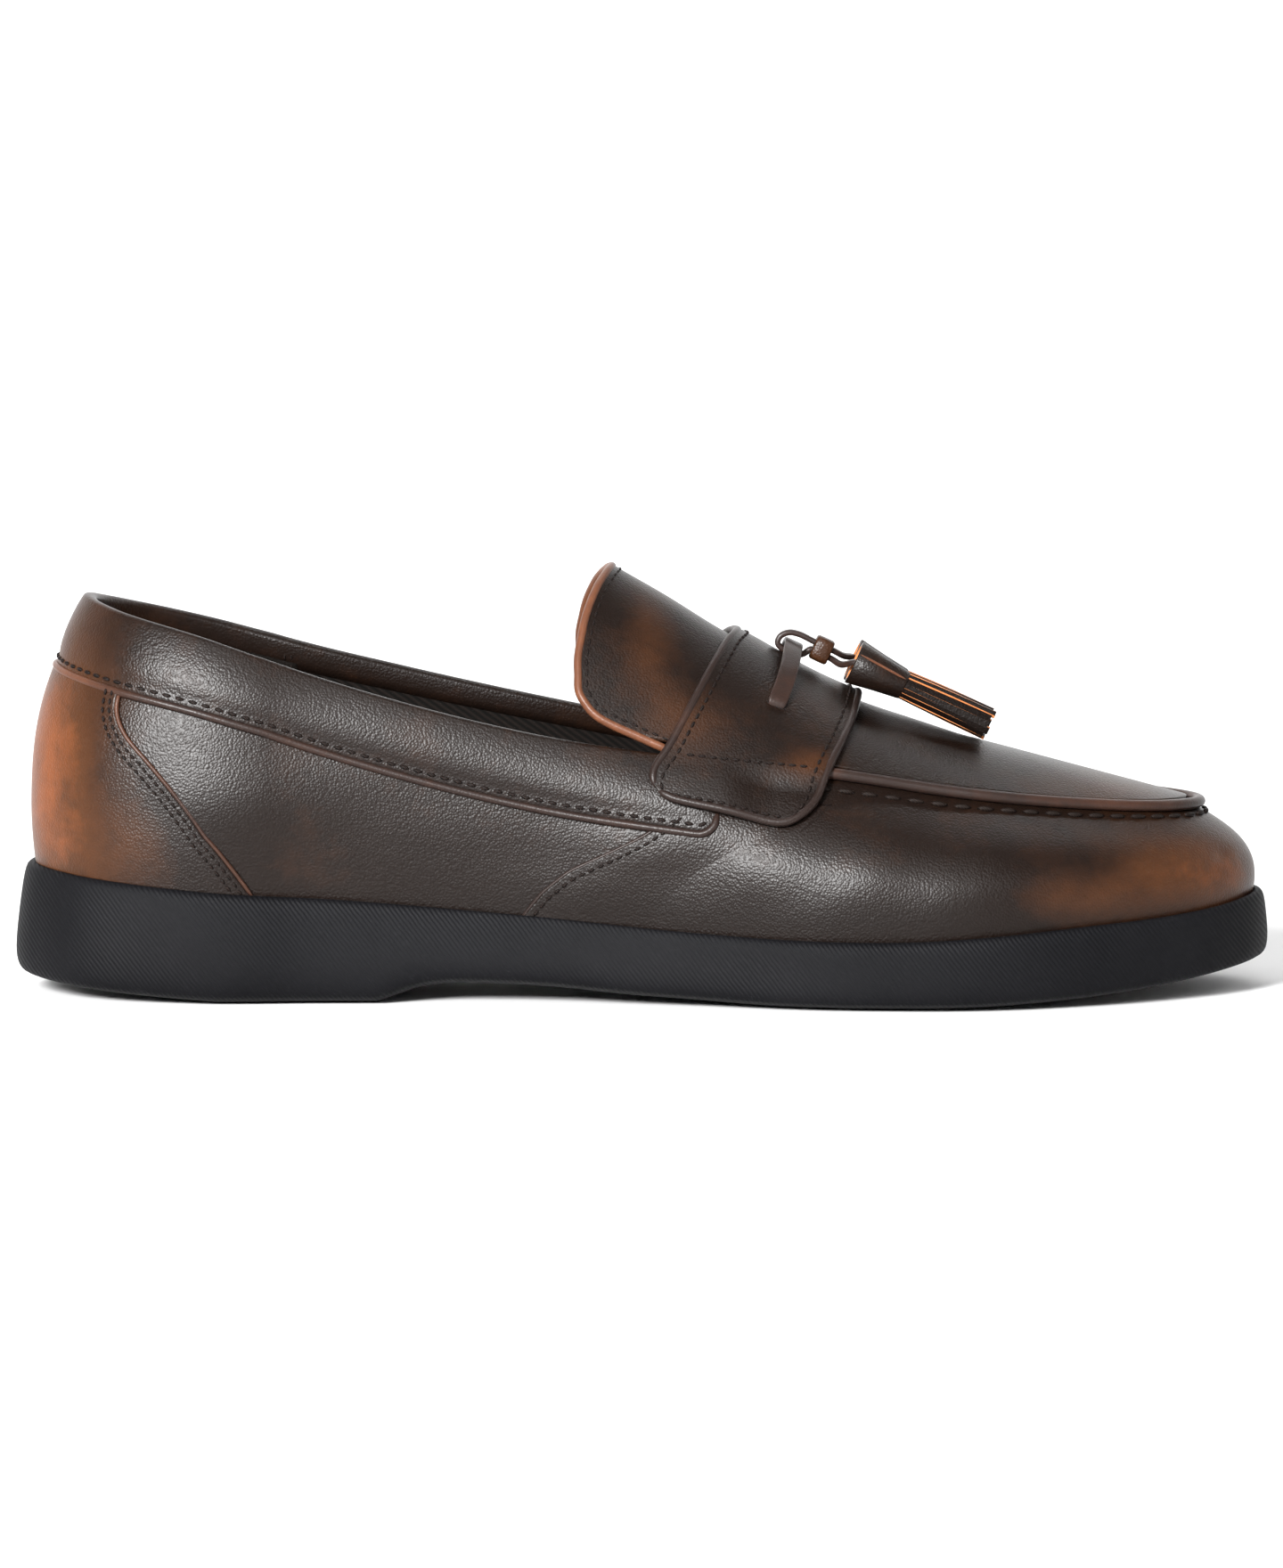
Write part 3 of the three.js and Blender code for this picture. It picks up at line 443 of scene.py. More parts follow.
@dataclass(frozen=True)
class Last:
    """The surfaces that every piece of the shoe is laid on."""

    length: float = 296.0
    ball_width: float = 106.0
    heel_width: float = 76.0
    back_height: float = 92.5
    toe_height: float = 43.0
    tongue_height: float = 100.5
    rim_height_at_back: float = 30.5
    cup_depth: float = 5.0
    heel_roll: float = 3.9
    arch_rise: float = 4.3
    toe_spring: float = 7.0
    heel_centre: float = 0.203
    toe_centre: float = 0.75
    toe_swing: float = 3.0
    heel_rest: float = 0.23

    def row(self, points: Array) -> Array:
        """Turns points to metres in the row frame.

        Args:
            points: Points in millimetres.

        Returns:
            The same points in metres.
        """
        return (np.asarray(points) - (self.heel_rest * self.length, 0, 0)) * MM

    def swing(self, at: Array) -> Array:
        """How far the middle line leans to the inner side.

        Args:
            at: Stations.

        Returns:
            The distances.
        """
        return self.toe_swing * smoothstep(at, self.heel_centre, self.toe_centre)

    def plane(self, at: Array, sign: Array) -> Plane:
        """The half planes of stations.

        Args:
            at: Stations.
            sign: Sides.

        Returns:
            The planes.
        """
        at = np.asarray(at, float)
        share = smoothstep(at, self.heel_centre, self.toe_centre)
        heel, toe = at < self.heel_centre, at > self.toe_centre
        back = at / self.heel_centre * math.pi / 2
        front = (at - self.toe_centre) / (1 - self.toe_centre) * math.pi / 2
        centre = np.clip(at, self.heel_centre, self.toe_centre)
        forward = np.where(heel, -np.cos(back) * self.heel_centre * self.length, 0.0)
        forward = np.where(toe, np.sin(front) * (1 - self.toe_centre) * self.length, forward)
        across = mix(self.heel_width, self.ball_width, share) / 2
        across = np.where(heel, np.sin(back) * self.heel_width / 2, across)
        across = np.where(toe, np.cos(front) * self.ball_width / 2, across)
        size = np.hypot(forward, across)
        outer, inner = Curve.of(OUTLINE, 1, True)(at), Curve.of(OUTLINE, 2, True)(at)
        reach = np.where(np.asarray(sign) < 0, outer, inner) * size
        return Plane(
            centre * self.length, self.swing(centre), forward / size, sign * across / size, reach
        )

    def rim(self, x: Array) -> Array:
        """Height of the sole's rim.

        Args:
            x: Distances from the back of the heel.

        Returns:
            The heights.
        """
        return self.rim_height_at_back * Curve.of(RIM, 1)(x / self.length)

    def tread(self, x: Array) -> Array:
        """Height of the underside.

        Args:
            x: Distances from the back of the heel.

        Returns:
            The heights.
        """
        at = x / self.length
        arch_start, arch_end, spring_run = 0.169, 0.697, 0.283
        heel = self.heel_roll * (1 - at / arch_start)
        arch = self.arch_rise * Curve.of(ARCH, 1)(at)
        toe = self.toe_spring * np.maximum((at - arch_end) / spring_run, 0) ** 2.2
        return np.where(at < arch_start, heel, np.where(at < arch_end, arch, toe))

    def section(self, at: Array, sign: Array) -> Section:
        """The half sections of stations.

        Args:
            at: Stations.
            sign: Sides.

        Returns:
            The sections.
        """
        plane = self.plane(at, sign)
        rim = self.rim(plane.x + plane.dx * plane.reach)
        bulge_r = plane.reach - Curve.of(WALL, 1)(at)
        outer = np.asarray(sign) < 0
        share = np.where(outer, Curve.of(EDGE, 1, True)(at), Curve.of(EDGE, 2, True)(at))
        fall = np.where(outer, Curve.of(EDGE, 3, True)(at), Curve.of(EDGE, 4, True)(at))
        return Section(
            plane=plane,
            rim=rim,
            feather_r=bulge_r - 1.5,
            feather_z=rim - self.cup_depth + 0.3,
            bulge_r=bulge_r,
            bulge_z=rim + Curve.of(WALL, 2)(at),
            edge_r=plane.reach * share,
            edge_z=mix(self.back_height, self.toe_height, fall),
            slope=np.radians(Curve.of(WALL, 3)(at)),
        )

    def wall(self, at: Array, sign: Array, level: Array) -> Array:
        """Points of the wall.

        Args:
            at: Stations.
            sign: Sides.
            level: From the feather line to the edge.

        Returns:
            The points.
        """
        section = self.section(at, sign)
        r, z = section.wall(level)
        return section.plane.at(r, z)

    def top(self, at: Array, sign: Array, up: Array) -> Array:
        """Points of the top.

        Args:
            at: Stations.
            sign: Sides.
            up: From 0 at the edge to 1 on the middle line.

        Returns:
            The points.
        """
        section = self.section(at, sign)
        crest = Curve.of(CREST, 1)
        middle = self.tongue_height * crest(np.minimum(at, self.toe_centre))
        tip = self.section(1.0, -1.0)
        fall = (tip.edge_z - self.tongue_height * crest(self.toe_centre)) / tip.edge_r
        start = np.where(np.asarray(at) > self.toe_centre, fall * section.plane.dx, 0.0)
        bend = (section.edge_z - middle - start * section.edge_r) / section.edge_r**2
        r = section.edge_r * (1 - np.asarray(up))
        return section.plane.at(r, middle + start * r + bend * r * r)

    def level_at(self, at: Array, sign: Array, height: Array) -> Array:
        """The wall's level at a height above the floor.

        Args:
            at: Stations.
            sign: Sides.
            height: The height.

        Returns:
            The levels.
        """
        section = self.section(at, sign)
        low = np.zeros(np.broadcast(at, sign, height).shape)
        high = low + 1
        for _ in range(24):
            middle = (low + high) / 2
            under = section.wall(middle)[1] < height
            low, high = np.where(under, middle, low), np.where(under, high, middle)
        return (low + high) / 2

    def path_on(self, surface: str, at: Array, sign: float, level: Array) -> Path:
        """A line on the wall or the top.

        Args:
            surface: Either wall or top.
            at: Stations.
            sign: The side.
            level: Levels of the wall, or rows of the top.

        Returns:
            The line.
        """
        place = self.wall if surface == "wall" else self.top
        at, level = np.broadcast_arrays(np.asarray(at, float), np.asarray(level, float))
        small = 0.001
        level = np.clip(level, small, 1 - small)
        points = place(at, sign, level)
        along = place(at + small, sign, level) - place(at - small, sign, level)
        rise = place(at, sign, level + small) - place(at, sign, level - small)
        normals = unit(np.cross(along, rise))
        outward = points - (self.length / 2, 2.0, 20.0)
        turn = np.sign(np.sum(normals * outward))
        return Path(points, normals * turn)


@dataclass
class Lattice:
    """A grid of points, with the way that its outer face looks."""

    points: Array
    outward: Array

    def raw_normals(self) -> Array:
        """Normals in the order of the grid.

        Returns:
            The normals, not yet of unit length.
        """
        along = np.gradient(self.points, axis=0)
        rise = np.gradient(self.points, axis=1)
        return np.cross(along, rise)

    def turned(self) -> bool:
        """True where the grid's own order faces inwards.

        Returns:
            Whether it has to be turned round.
        """
        return float(np.sum(unit(self.raw_normals()) * unit(self.outward))) < 0

    def normals(self) -> Array:
        """Unit normals that look outwards.

        Returns:
            The normals.
        """
        raw = self.raw_normals()
        size = np.linalg.norm(raw, axis=-1)
        normals = unit(raw)
        for row, inner in ((-1, -2), (0, 1)):
            pole = size[:, row] < 1e-3
            if pole.any():
                normals[pole, row] = unit(normals[pole, inner].mean(axis=0))
        return -normals if self.turned() else normals

    def lifted(self, height: Array) -> "Lattice":
        """The grid moved along its normals.

        Args:
            height: Distances, one or one for each point.

        Returns:
            The moved grid.
        """
        moved = self.points + self.normals() * np.asarray(height)[..., None]
        return Lattice(moved, self.outward)


@dataclass(frozen=True)
class Patch:
    """A place where the finish has been rubbed back to copper, or darkened; some darkened places
    are painted shade.
    """

    x: float
    z: float
    wide: float
    high: float
    strength: float


# Tone 0.5 is the plain brown. Copper shows above it and near black below it.
BURNISH_AND_PAINTED_SHADE = (
    Patch(6, 60, 15, 34, 0.36),
    Patch(24, 36, 24, 10, 0.12),
    Patch(46, 42, 12, 14, -0.1),
    Patch(66, 31, 12, 7, 0.03),
    Patch(100, 34, 18, 8, -0.04),
    # Painted shade: these two darken the wall's foot just above the sole, where it turns under and
    # faces away from the lights.
    Patch(150, 22, 70, 7, -0.1),
    Patch(215, 20, 30, 6, -0.06),
    Patch(244, 26, 10, 5, 0.08),
    Patch(273, 31, 19, 8, 0.22),
    Patch(252, 24, 16, 5, 0.08),
    Patch(288, 26, 12, 7, 0.16),
    Patch(256, 33, 8, 4, -0.05),
    Patch(150, 82, 6, 13, 0.1),
    Patch(158, 66, 8, 7, 0.1),
    Patch(262, 49, 22, 4, 0.1),
    Patch(187, 56, 6, 3.5, 0.13),
)


def tone_of(points: Array) -> Array:
    """The tone at points: copper where the burnishing has rubbed through, and painted shade at the
    wall's foot.

    Args:
        points: Points in millimetres.

    Returns:
        Tones from 0 to 1.
    """
    tone = np.full(points.shape[:-1], 0.5)
    for patch in BURNISH_AND_PAINTED_SHADE:
        far = ((points[..., 0] - patch.x) / patch.wide) ** 2
        far = far + ((points[..., 2] - patch.z) / patch.high) ** 2
        tone = tone + patch.strength * np.exp(-far)
    return np.clip(tone, 0, 1)


def oval(sides: int, square: float) -> tuple[Array, Array]:
    """Goes once round an oval section.

    Args:
        sides: Faces round it.
        square: 1 for an oval, less for a flatter one.

    Returns:
        How far across and how far up, from -1 to 1.
    """
    angle = np.linspace(0, 2 * math.pi, sides + 1)
    cos, sin = np.cos(angle), np.sin(angle)
    return np.sign(cos) * np.abs(cos) ** square, np.sign(sin) * np.abs(sin) ** square


def new_object(name: str, body: bmesh.types.BMesh) -> bpy.types.Object:
    """Makes a smooth-shaded object.

    Args:
        name: Its name.
        body: Its shape, in metres.

    Returns:
        The object, in the scene.
    """
    mesh = bpy.data.meshes.new(name)
    body.to_mesh(mesh)
    body.free()
    mesh.shade_smooth()
    thing = bpy.data.objects.new(name, mesh)
    bpy.context.scene.collection.objects.link(thing)
    return thing


def spun(corners: list[tuple], axis: tuple, steps: int, near: float) -> bmesh.types.BMesh:
    """Turns a profile once about an axis through the origin.

    Args:
        corners: The profile's corners, in metres.
        axis: The axis.
        steps: Faces round it.
        near: Corners that are closer than this are joined.

    Returns:
        The shape.
    """
    body = bmesh.new()
    points = [body.verts.new(corner) for corner in corners]
    edges = [body.edges.new(pair) for pair in zip(points, points[1:])]
    turn = {"cent": (0, 0, 0), "axis": axis, "angle": 2 * math.pi}
    bmesh.ops.spin(body, geom=points + edges, steps=steps, use_merge=True, **turn)
    bmesh.ops.remove_doubles(body, verts=body.verts, dist=near)
    bmesh.ops.recalc_face_normals(body, faces=body.faces)
    return body


class Maker:
    """Turns grids and lines into pieces that ride on the shoe's body."""

    def __init__(self, last: Last) -> None:
        """Keeps the last.

        Args:
            last: The surfaces of the shoe.
        """
        self.last = last

    def sheet(self, name: str, lattice: Lattice, tone: Array | None = None) -> bpy.types.Object:
        """Lays a grid of faces on a lattice.

        Args:
            name: The piece's name.
            lattice: The points.
            tone: The finish's tone at each point, or None for tone_of's burnishing and painted
                shade.

        Returns:
            The piece.
        """
        columns, rows = lattice.points.shape[:2]
        tones = tone_of(lattice.points) if tone is None else tone
        place = self.last.row(lattice.points)
        body = bmesh.new()
        bmesh.ops.create_grid(body, x_segments=columns - 1, y_segments=rows - 1, size=1)
        layer = body.verts.layers.float.new("tone")
        for vertex in body.verts:
            i = round((vertex.co.x + 1) / 2 * (columns - 1))
            j = round((vertex.co.y + 1) / 2 * (rows - 1))
            vertex.co = place[i, j]
            vertex[layer] = float(tones[i, j])
        if lattice.turned():
            bmesh.ops.reverse_faces(body, faces=body.faces)
        bmesh.ops.remove_doubles(body, verts=body.verts, dist=2e-6)
        return new_object(name, body)

    def tube(
        self,
        name: str,
        path: Path,
        wide: float,
        high: float,
        sides: int = 12,
        square: float = 1.0,
        tone: Array | None = None,
    ) -> bpy.types.Object:
        """A bead, thong or piping along a line, with round ends.

        Args:
            name: The piece's name.
            path: The line through its middle.
            wide: Half its width, across the line.
            high: Half its height, along the normals.
            sides: Faces round it.
            square: 1 for an oval section, less for a flatter one.
            tone: The finish's tone at each point of the line, or None.

        Returns:
            The piece.
        """
        count = len(path.points)
        cos, sin = oval(sides, square)
        ends = np.ones(count)
        shape = (0.0, 0.55, 0.85, 0.97)
        if count > 10:
            ends[:4], ends[-4:] = shape, shape[::-1]
        offset = (
            path.aside()[:, None] * (wide * cos)[None, :, None]
            + path.normals[:, None] * (high * sin)[None, :, None]
        )
        points = path.points[:, None] + offset * ends[:, None, None]
        tones = None if tone is None else np.repeat(np.asarray(tone)[:, None], sides + 1, 1)
        return self.sheet(name, Lattice(points, offset), tones)

    def stitches(
        self, name: str, rows: list[Path], pitch: float, length: float, thick: float
    ) -> bpy.types.Object:
        """Rows of stitches, each a short bead of thread that dips at its ends.

        Args:
            name: The piece's name.
            rows: The lines that they follow.
            pitch: Distance from one stitch to the next.
            length: Length of a stitch.
            thick: Thickness of the thread.

        Returns:
            The piece.
        """
        body = bmesh.new()
        for path in rows:
            total = path.distances()[-1]
            count = max(1, int(total / pitch))
            spots = (np.arange(count) + 0.5) * total / count
            line = path.sampled(spots)
            tangents = path.sampled(spots + 0.2).points - path.sampled(spots - 0.2).points
            for spot, normal, tangent in zip(self.last.row(line.points), line.normals, tangents):
                along = Vector(unit(tangent))
                up = Vector(normal)
                across = up.cross(along).normalized()
                turn = Matrix((along, across, along.cross(across))).transposed().to_4x4()
                size = Matrix.Diagonal((length / 2 * MM, thick / 2 * MM, thick / 2 * MM, 1))
                place = Matrix.Translation(Vector(spot)) @ turn @ size
                bmesh.ops.create_uvsphere(
                    body, u_segments=8, v_segments=5, radius=1, matrix=place
                )
        return new_object(name, body)

    def relax(self, thing: bpy.types.Object, low: tuple, high: tuple, times: int) -> None:
        """Joins crowded points in a box and evens the surface out, all but its open edge.

        Args:
            thing: The piece.
            low: The box's low corner, in millimetres.
            high: Its high corner.
            times: How often each point moves towards its neighbours.
        """
        ends = self.last.row(np.array([low, high], dtype=float))
        body = bmesh.new()
        body.from_mesh(thing.data)
        # The first round joins crowded points, the second lists those left inside.
        for crowded in (True, False):
            inside = [
                vertex
                for vertex in body.verts
                if (crowded or not vertex.is_boundary)
                and all(a < c < b for a, c, b in zip(ends[0], vertex.co, ends[1]))
            ]
            if crowded:
                bmesh.ops.remove_doubles(body, verts=inside, dist=0.25 * MM)
        for _ in range(times):
            bmesh.ops.smooth_vert(
                body, verts=inside, factor=0.5, use_axis_x=True, use_axis_y=True, use_axis_z=True
            )
        body.to_mesh(thing.data)
        body.free()
        thing.data.shade_smooth()

    def settle(
        self,
        thing: bpy.types.Object,
        slot: Slot,
        finish: bpy.types.Material,
        replaces: tuple[str, ...] = (),
        wall: float = 0.0,
    ) -> bpy.types.Object:
        """Dresses a piece and makes it ride on the shoe.

        Args:
            thing: The piece.
            slot: The record's slot. Not used.
            finish: Its material.
            replaces: CAD nodes that it stands for.
            wall: Thickness to give a sheet inwards, in millimetres.

        Returns:
            The piece.
        """
        thing.data.materials.append(finish)
        if wall:
            modifier = thing.modifiers.new("wall", "SOLIDIFY")
            modifier.thickness = wall * MM
            modifier.offset = -1
        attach(thing, "root")
        if replaces:
            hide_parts(*replaces)
        LOG.info("%s: %d faces", thing.name, len(thing.data.polygons))
        return thing


def colour(code: str) -> tuple[float, float, float, float]:
    """Turns an sRGB hex colour to linear.

    Args:
        code: Six hex digits after a hash.

    Returns:
        Red, green, blue and alpha.
    """
    parts = [int(code[i : i + 2], 16) / 255 for i in (1, 3, 5)]
    linear = [p / 12.92 if p <= 0.04045 else ((p + 0.055) / 1.055) ** 2.4 for p in parts]
    return (linear[0], linear[1], linear[2], 1.0)


def add_node(
    tree: bpy.types.NodeTree,
    kind: str,
    settings: dict | None = None,
    sockets: dict | None = None,
    links: dict | None = None,
) -> bpy.types.Node:
    """Adds a node to a material.

    Args:
        tree: The material's tree.
        kind: The node's type.
        settings: Values of its own properties.
        sockets: Values of its unlinked sockets.
        links: Output sockets to join to its sockets.

    Returns:
        The node.
    """
    node = tree.nodes.new(kind)
    for key, value in (settings or {}).items():
        setattr(node, key, value)
    for key, value in (sockets or {}).items():
        node.inputs[key].default_value = value
    for key, output in (links or {}).items():
        tree.links.new(output, node.inputs[key])
    return node


def set_ramp(node: bpy.types.Node, stops: tuple[tuple[float, str], ...]) -> None:
    """Gives a colour ramp its stops.

    Args:
        node: The ramp.
        stops: Positions and hex colours.
    """
    ramp = node.color_ramp
    while len(ramp.elements) > 1:
        ramp.elements.remove(ramp.elements[-1])
    ramp.elements[0].position = stops[0][0]
    ramp.elements[0].color = colour(stops[0][1])
    for position, code in stops[1:]:
        ramp.elements.new(position).color = colour(code)


class Surface:
    """A material in the making, with the kinds of node that the finishes share."""

    def __init__(self, name: str) -> None:
        """Starts the material.

        Args:
            name: Its name.
        """
        self.material = bpy.data.materials.new(name)
        self.material.use_nodes = True
        self.tree = self.material.node_tree
        self.tree.nodes.clear()
        self.output = add_node(self.tree, "ShaderNodeOutputMaterial")

    def place(self) -> bpy.types.NodeSocket:
        """The object's own coordinates.

        Returns:
            Their output socket.
        """
        return add_node(self.tree, "ShaderNodeTexCoord").outputs["Object"]

    def noise(self, size: float, **shape: float) -> bpy.types.NodeSocket:
        """Cloudy noise.

        Args:
            size: Size of a cloud in millimetres.
            **shape: Its detail, roughness and distortion.

        Returns:
            The noise, from 0 to 1.
        """
        sockets = {"Scale": 1 / (size * MM)} | {key.title(): value for key, value in shape.items()}
        kind = "ShaderNodeTexNoise"
        return add_node(self.tree, kind, None, sockets, {"Vector": self.place()}).outputs["Fac"]

    def ribs(
        self, pitch: float, direction: str, angle: float = 0.0, **shape: float
    ) -> bpy.types.NodeSocket:
        """Straight ribs.

        Args:
            pitch: From one rib to the next, in millimetres.
            direction: The way that they follow one another.
            angle: How far they are turned about the shoe's width, in degrees.
            **shape: Their detail and distortion.

        Returns:
            The ribs, from 0 to 1.
        """
        place = self.place()
        if angle:
            turn = {"Rotation": (0.0, math.radians(angle), 0.0)}
            mapping = add_node(self.tree, "ShaderNodeMapping", None, turn, {"Vector": place})
            place = mapping.outputs["Vector"]
        sockets = {"Scale": WAVE / (pitch * MM)} | {k.title(): v for k, v in shape.items()}
        settings = {"bands_direction": direction}
        waves = add_node(self.tree, "ShaderNodeTexWave", settings, sockets, {"Vector": place})
        return waves.outputs["Fac"]

    def pebbles(self, size: float) -> bpy.types.NodeSocket:
        """Rounded pebbles of grain, low in the middle and high between them.

        Args:
            size: Size of a pebble in millimetres.

        Returns:
            The distance from each pebble's middle.
        """
        return add_node(
            self.tree,
            "ShaderNodeTexVoronoi",
            {"feature": "SMOOTH_F1"},
            {"Scale": 1 / (size * MM), "Smoothness": 0.35, "Randomness": 1.0},
            {"Vector": self.place()},
        ).outputs["Distance"]

    def value(self, operation: str, *terms: float | bpy.types.NodeSocket) -> bpy.types.NodeSocket:
        """Works out a sum of values and sockets.

        Args:
            operation: What to do with them.
            *terms: Numbers and output sockets, in the node's own order.

        Returns:
            The result.
        """
        values = {i: term for i, term in enumerate(terms) if isinstance(term, float)}
        links = {i: term for i, term in enumerate(terms) if not isinstance(term, float)}
        settings = {"operation": operation}
        return add_node(self.tree, "ShaderNodeMath", settings, values, links).outputs[0]

    def ramp(
        self, factor: bpy.types.NodeSocket, stops: tuple[tuple[float, str], ...]
    ) -> bpy.types.NodeSocket:
        """Colours that follow a value.

        Args:
            factor: The value.
            stops: Positions and hex colours.

        Returns:
            The colour.
        """
        node = add_node(self.tree, "ShaderNodeValToRGB", links={"Fac": factor})
        set_ramp(node, stops)
        return node.outputs["Color"]

    def bump(
        self,
        height: bpy.types.NodeSocket,
        strength: float,
        depth: float,
        under: bpy.types.NodeSocket | None = None,
        invert: bool = False,
    ) -> bpy.types.NodeSocket:
        """Fine relief.

        Args:
            height: Its height, from 0 to 1.
            strength: How much of it shows.
            depth: Its depth in millimetres.
            under: Coarser relief that it lies on.
            invert: True where high values are low places.

        Returns:
            The normals.
        """
        links = {"Height": height} | ({"Normal": under} if under else {})
        sockets = {"Strength": strength, "Distance": depth * MM}
        node = add_node(self.tree, "ShaderNodeBump", {"invert": invert}, sockets, links)
        return node.outputs["Normal"]

    def finished(self, sockets: dict, links: dict) -> bpy.types.Material:
        """Closes the material with its shader.

        Args:
            sockets: The shader's uniform values.
            links: What drives the others.

        Returns:
            The material.
        """
        shader = add_node(self.tree, "ShaderNodeBsdfPrincipled", None, sockets, links)
        self.tree.links.new(shader.outputs["BSDF"], self.output.inputs["Surface"])
        return self.material


@dataclass(frozen=True)
class BurnishedLeather:
    """Calf leather, printed with a fine pebble grain, waxed dark and rubbed back by hand.

    It gives the eye soft wide highlights broken up by the grain, cloudy changes of tone and
    warm copper where it has been rubbed.
    """

    name: str
    stops: tuple[tuple[float, str], ...]
    roughness: float = 0.37
    grain: float = 0.55
    grain_depth: float = 0.1
    cloud: float = 0.6
    gloss: float = 0.18

    def build(self) -> bpy.types.Material:
        """Makes the material.

        Returns:
            The material.
        """
        surface = Surface(self.name)
        attribute = {"attribute_name": "tone"}
        tone = add_node(surface.tree, "ShaderNodeAttribute", attribute).outputs["Fac"]
        clouds = surface.noise(14, detail=4.0, roughness=0.6, distortion=0.4)
        mottle = surface.noise(2.6, detail=3.0, roughness=0.65)
        both = surface.value("MULTIPLY_ADD", mottle, 0.5, clouds)
        swing = surface.value("MULTIPLY_ADD", both, self.cloud, -0.75 * self.cloud)
        # The clouds fade out where the tone is darkest.
        room = surface.value("SUBTRACT", tone, 0.32)
        shifted = surface.value("MULTIPLY_ADD", swing, room, tone)
        shade = surface.ramp(shifted, self.stops)
        pores = surface.noise(0.5, detail=2.0, roughness=0.5)
        rough = surface.value("MULTIPLY_ADD", pores, 0.16, self.roughness - 0.08)
        grain = surface.bump(surface.pebbles(self.grain), 0.8, self.grain_depth, invert=True)
        soft = surface.bump(mottle, 0.2, 0.05, grain)
        return surface.finished(
            {"IOR": 1.48, "Specular IOR Level": self.gloss},
            {"Base Color": shade, "Roughness": rough, "Normal": soft},
        )


@dataclass(frozen=True)
class MouldedRubber:
    """Rubber cast in an etched mould.

    It gives the eye a matt dark face with a very fine diagonal hatch that catches light
    along the rim.
    """

    name: str
    base: str
    worn: str
    hatch: float = 0.9
    roughness: float = 0.62

    def build(self) -> bpy.types.Material:
        """Makes the material.

        Returns:
            The material.
        """
        surface = Surface(self.name)
        lines = surface.ribs(self.hatch, "X", 38, distortion=1.2, detail=1.0)
        specks = surface.noise(0.8, detail=3.0)
        shade = surface.ramp(surface.noise(30, detail=2.0), ((0.3, self.base), (0.75, self.worn)))
        fine = surface.bump(specks, 0.4, 0.08, surface.bump(lines, 0.8, 0.12))
        rough = surface.value("MULTIPLY_ADD", specks, 0.14, self.roughness - 0.07)
        return surface.finished(
            {"IOR": 1.45, "Specular IOR Level": 0.08},
            {"Base Color": shade, "Roughness": rough, "Normal": fine},
        )


@dataclass(frozen=True)
class Twill:
    """Woven cotton lining. It gives the eye dark matt cloth with fine diagonal ribs."""

    name: str
    base: str
    lit: str
    rib: float = 1.3

    def build(self) -> bpy.types.Material:
        """Makes the material.

        Returns:
            The material.
        """
        surface = Surface(self.name)
        ribs = surface.ribs(self.rib, "Z", -35, distortion=0.6, detail=1.0)
        return surface.finished(
            {"Roughness": 0.9, "IOR": 1.45, "Specular IOR Level": 0.1},
            {
                "Base Color": surface.ramp(ribs, ((0.2, self.base), (0.8, self.lit))),
                "Normal": surface.bump(ribs, 0.7, 0.2),
            },
        )


@dataclass(frozen=True)
class Thread:
    """Waxed polyester thread. It gives the eye a dull twist with fine slanting strands."""

    name: str
    base: str
    lit: str
    strand: float = 0.35

    def build(self) -> bpy.types.Material:
        """Makes the material.

        Returns:
            The material.
        """
        surface = Surface(self.name)
        strands = surface.ribs(self.strand, "DIAGONAL", distortion=0.5)
        return surface.finished(
            {"Roughness": 0.6, "IOR": 1.5, "Specular IOR Level": 0.1},
            {
                "Base Color": surface.ramp(strands, ((0.2, self.base), (0.9, self.lit))),
                "Normal": surface.bump(strands, 0.5, 0.1),
            },
        )


UPPER_LEATHER = BurnishedLeather(
    "burnished_calf_upper",
    ((0.2, "#060302"), (0.5, "#110a07"), (0.72, "#39200f"), (1.0, "#76401f")),
)
EDGE_LEATHER = BurnishedLeather(
    "burnished_calf_edge",
    ((0.2, "#100b09"), (0.5, "#211815"), (0.75, "#523222"), (1.0, "#8c5738")),
    grain_depth=0.04,
)
TASSEL_LEATHER = BurnishedLeather(
    "tassel_calf",
    ((0.1, "#050303"), (0.5, "#0d0806"), (0.75, "#24150f"), (1.0, "#6c432c")),
    roughness=0.45,
    gloss=0.07,
)
CUT_EDGE = BurnishedLeather(
    "cut_calf_edge",
    ((0.1, "#7c4a28"), (0.5, "#a5673b"), (1.0, "#c98a58")),
    roughness=0.7,
)
LINING_LEATHER = BurnishedLeather(
    "calf_lining",
    ((0.1, "#060504"), (0.5, "#0c0907"), (1.0, "#120d0b")),
    roughness=0.55,
    gloss=0.1,
)
SOLE_RUBBER = MouldedRubber("moulded_sole_rubber", "#08080a", "#0e0e10")
TWILL_LINING = Twill("cotton_twill_lining", "#060504", "#110d0b")
DARK_THREAD = Thread("waxed_dark_thread", "#050403", "#1c1310")
HAND_THREAD = Thread("waxed_hand_thread", "#080504", "#1c1410")


class Finishes:
    """The shoe's materials, made once."""

    def __init__(self) -> None:
        """Makes every material."""
        self.upper = UPPER_LEATHER.build()
        self.edge = EDGE_LEATHER.build()
        self.tassel = TASSEL_LEATHER.build()
        self.cut = CUT_EDGE.build()
        self.lining = LINING_LEATHER.build()
        self.rubber = SOLE_RUBBER.build()
        self.twill = TWILL_LINING.build()
        self.thread = DARK_THREAD.build()
        self.hand_thread = HAND_THREAD.build()


MIDDLE = (148.0, 2.0, 25.0)
ABOVE = (148.0, 2.0, 60.0)
BELOW = (148.0, 2.0, -60.0)


def shell(points: Array, centre: tuple[float, float, float] = MIDDLE) -> Lattice:
    """Makes a lattice whose faces look away from a point.

    Args:
        points: Its points.
        centre: What they look away from.

    Returns:
        The lattice.
    """
    return Lattice(points, points - np.array(centre))


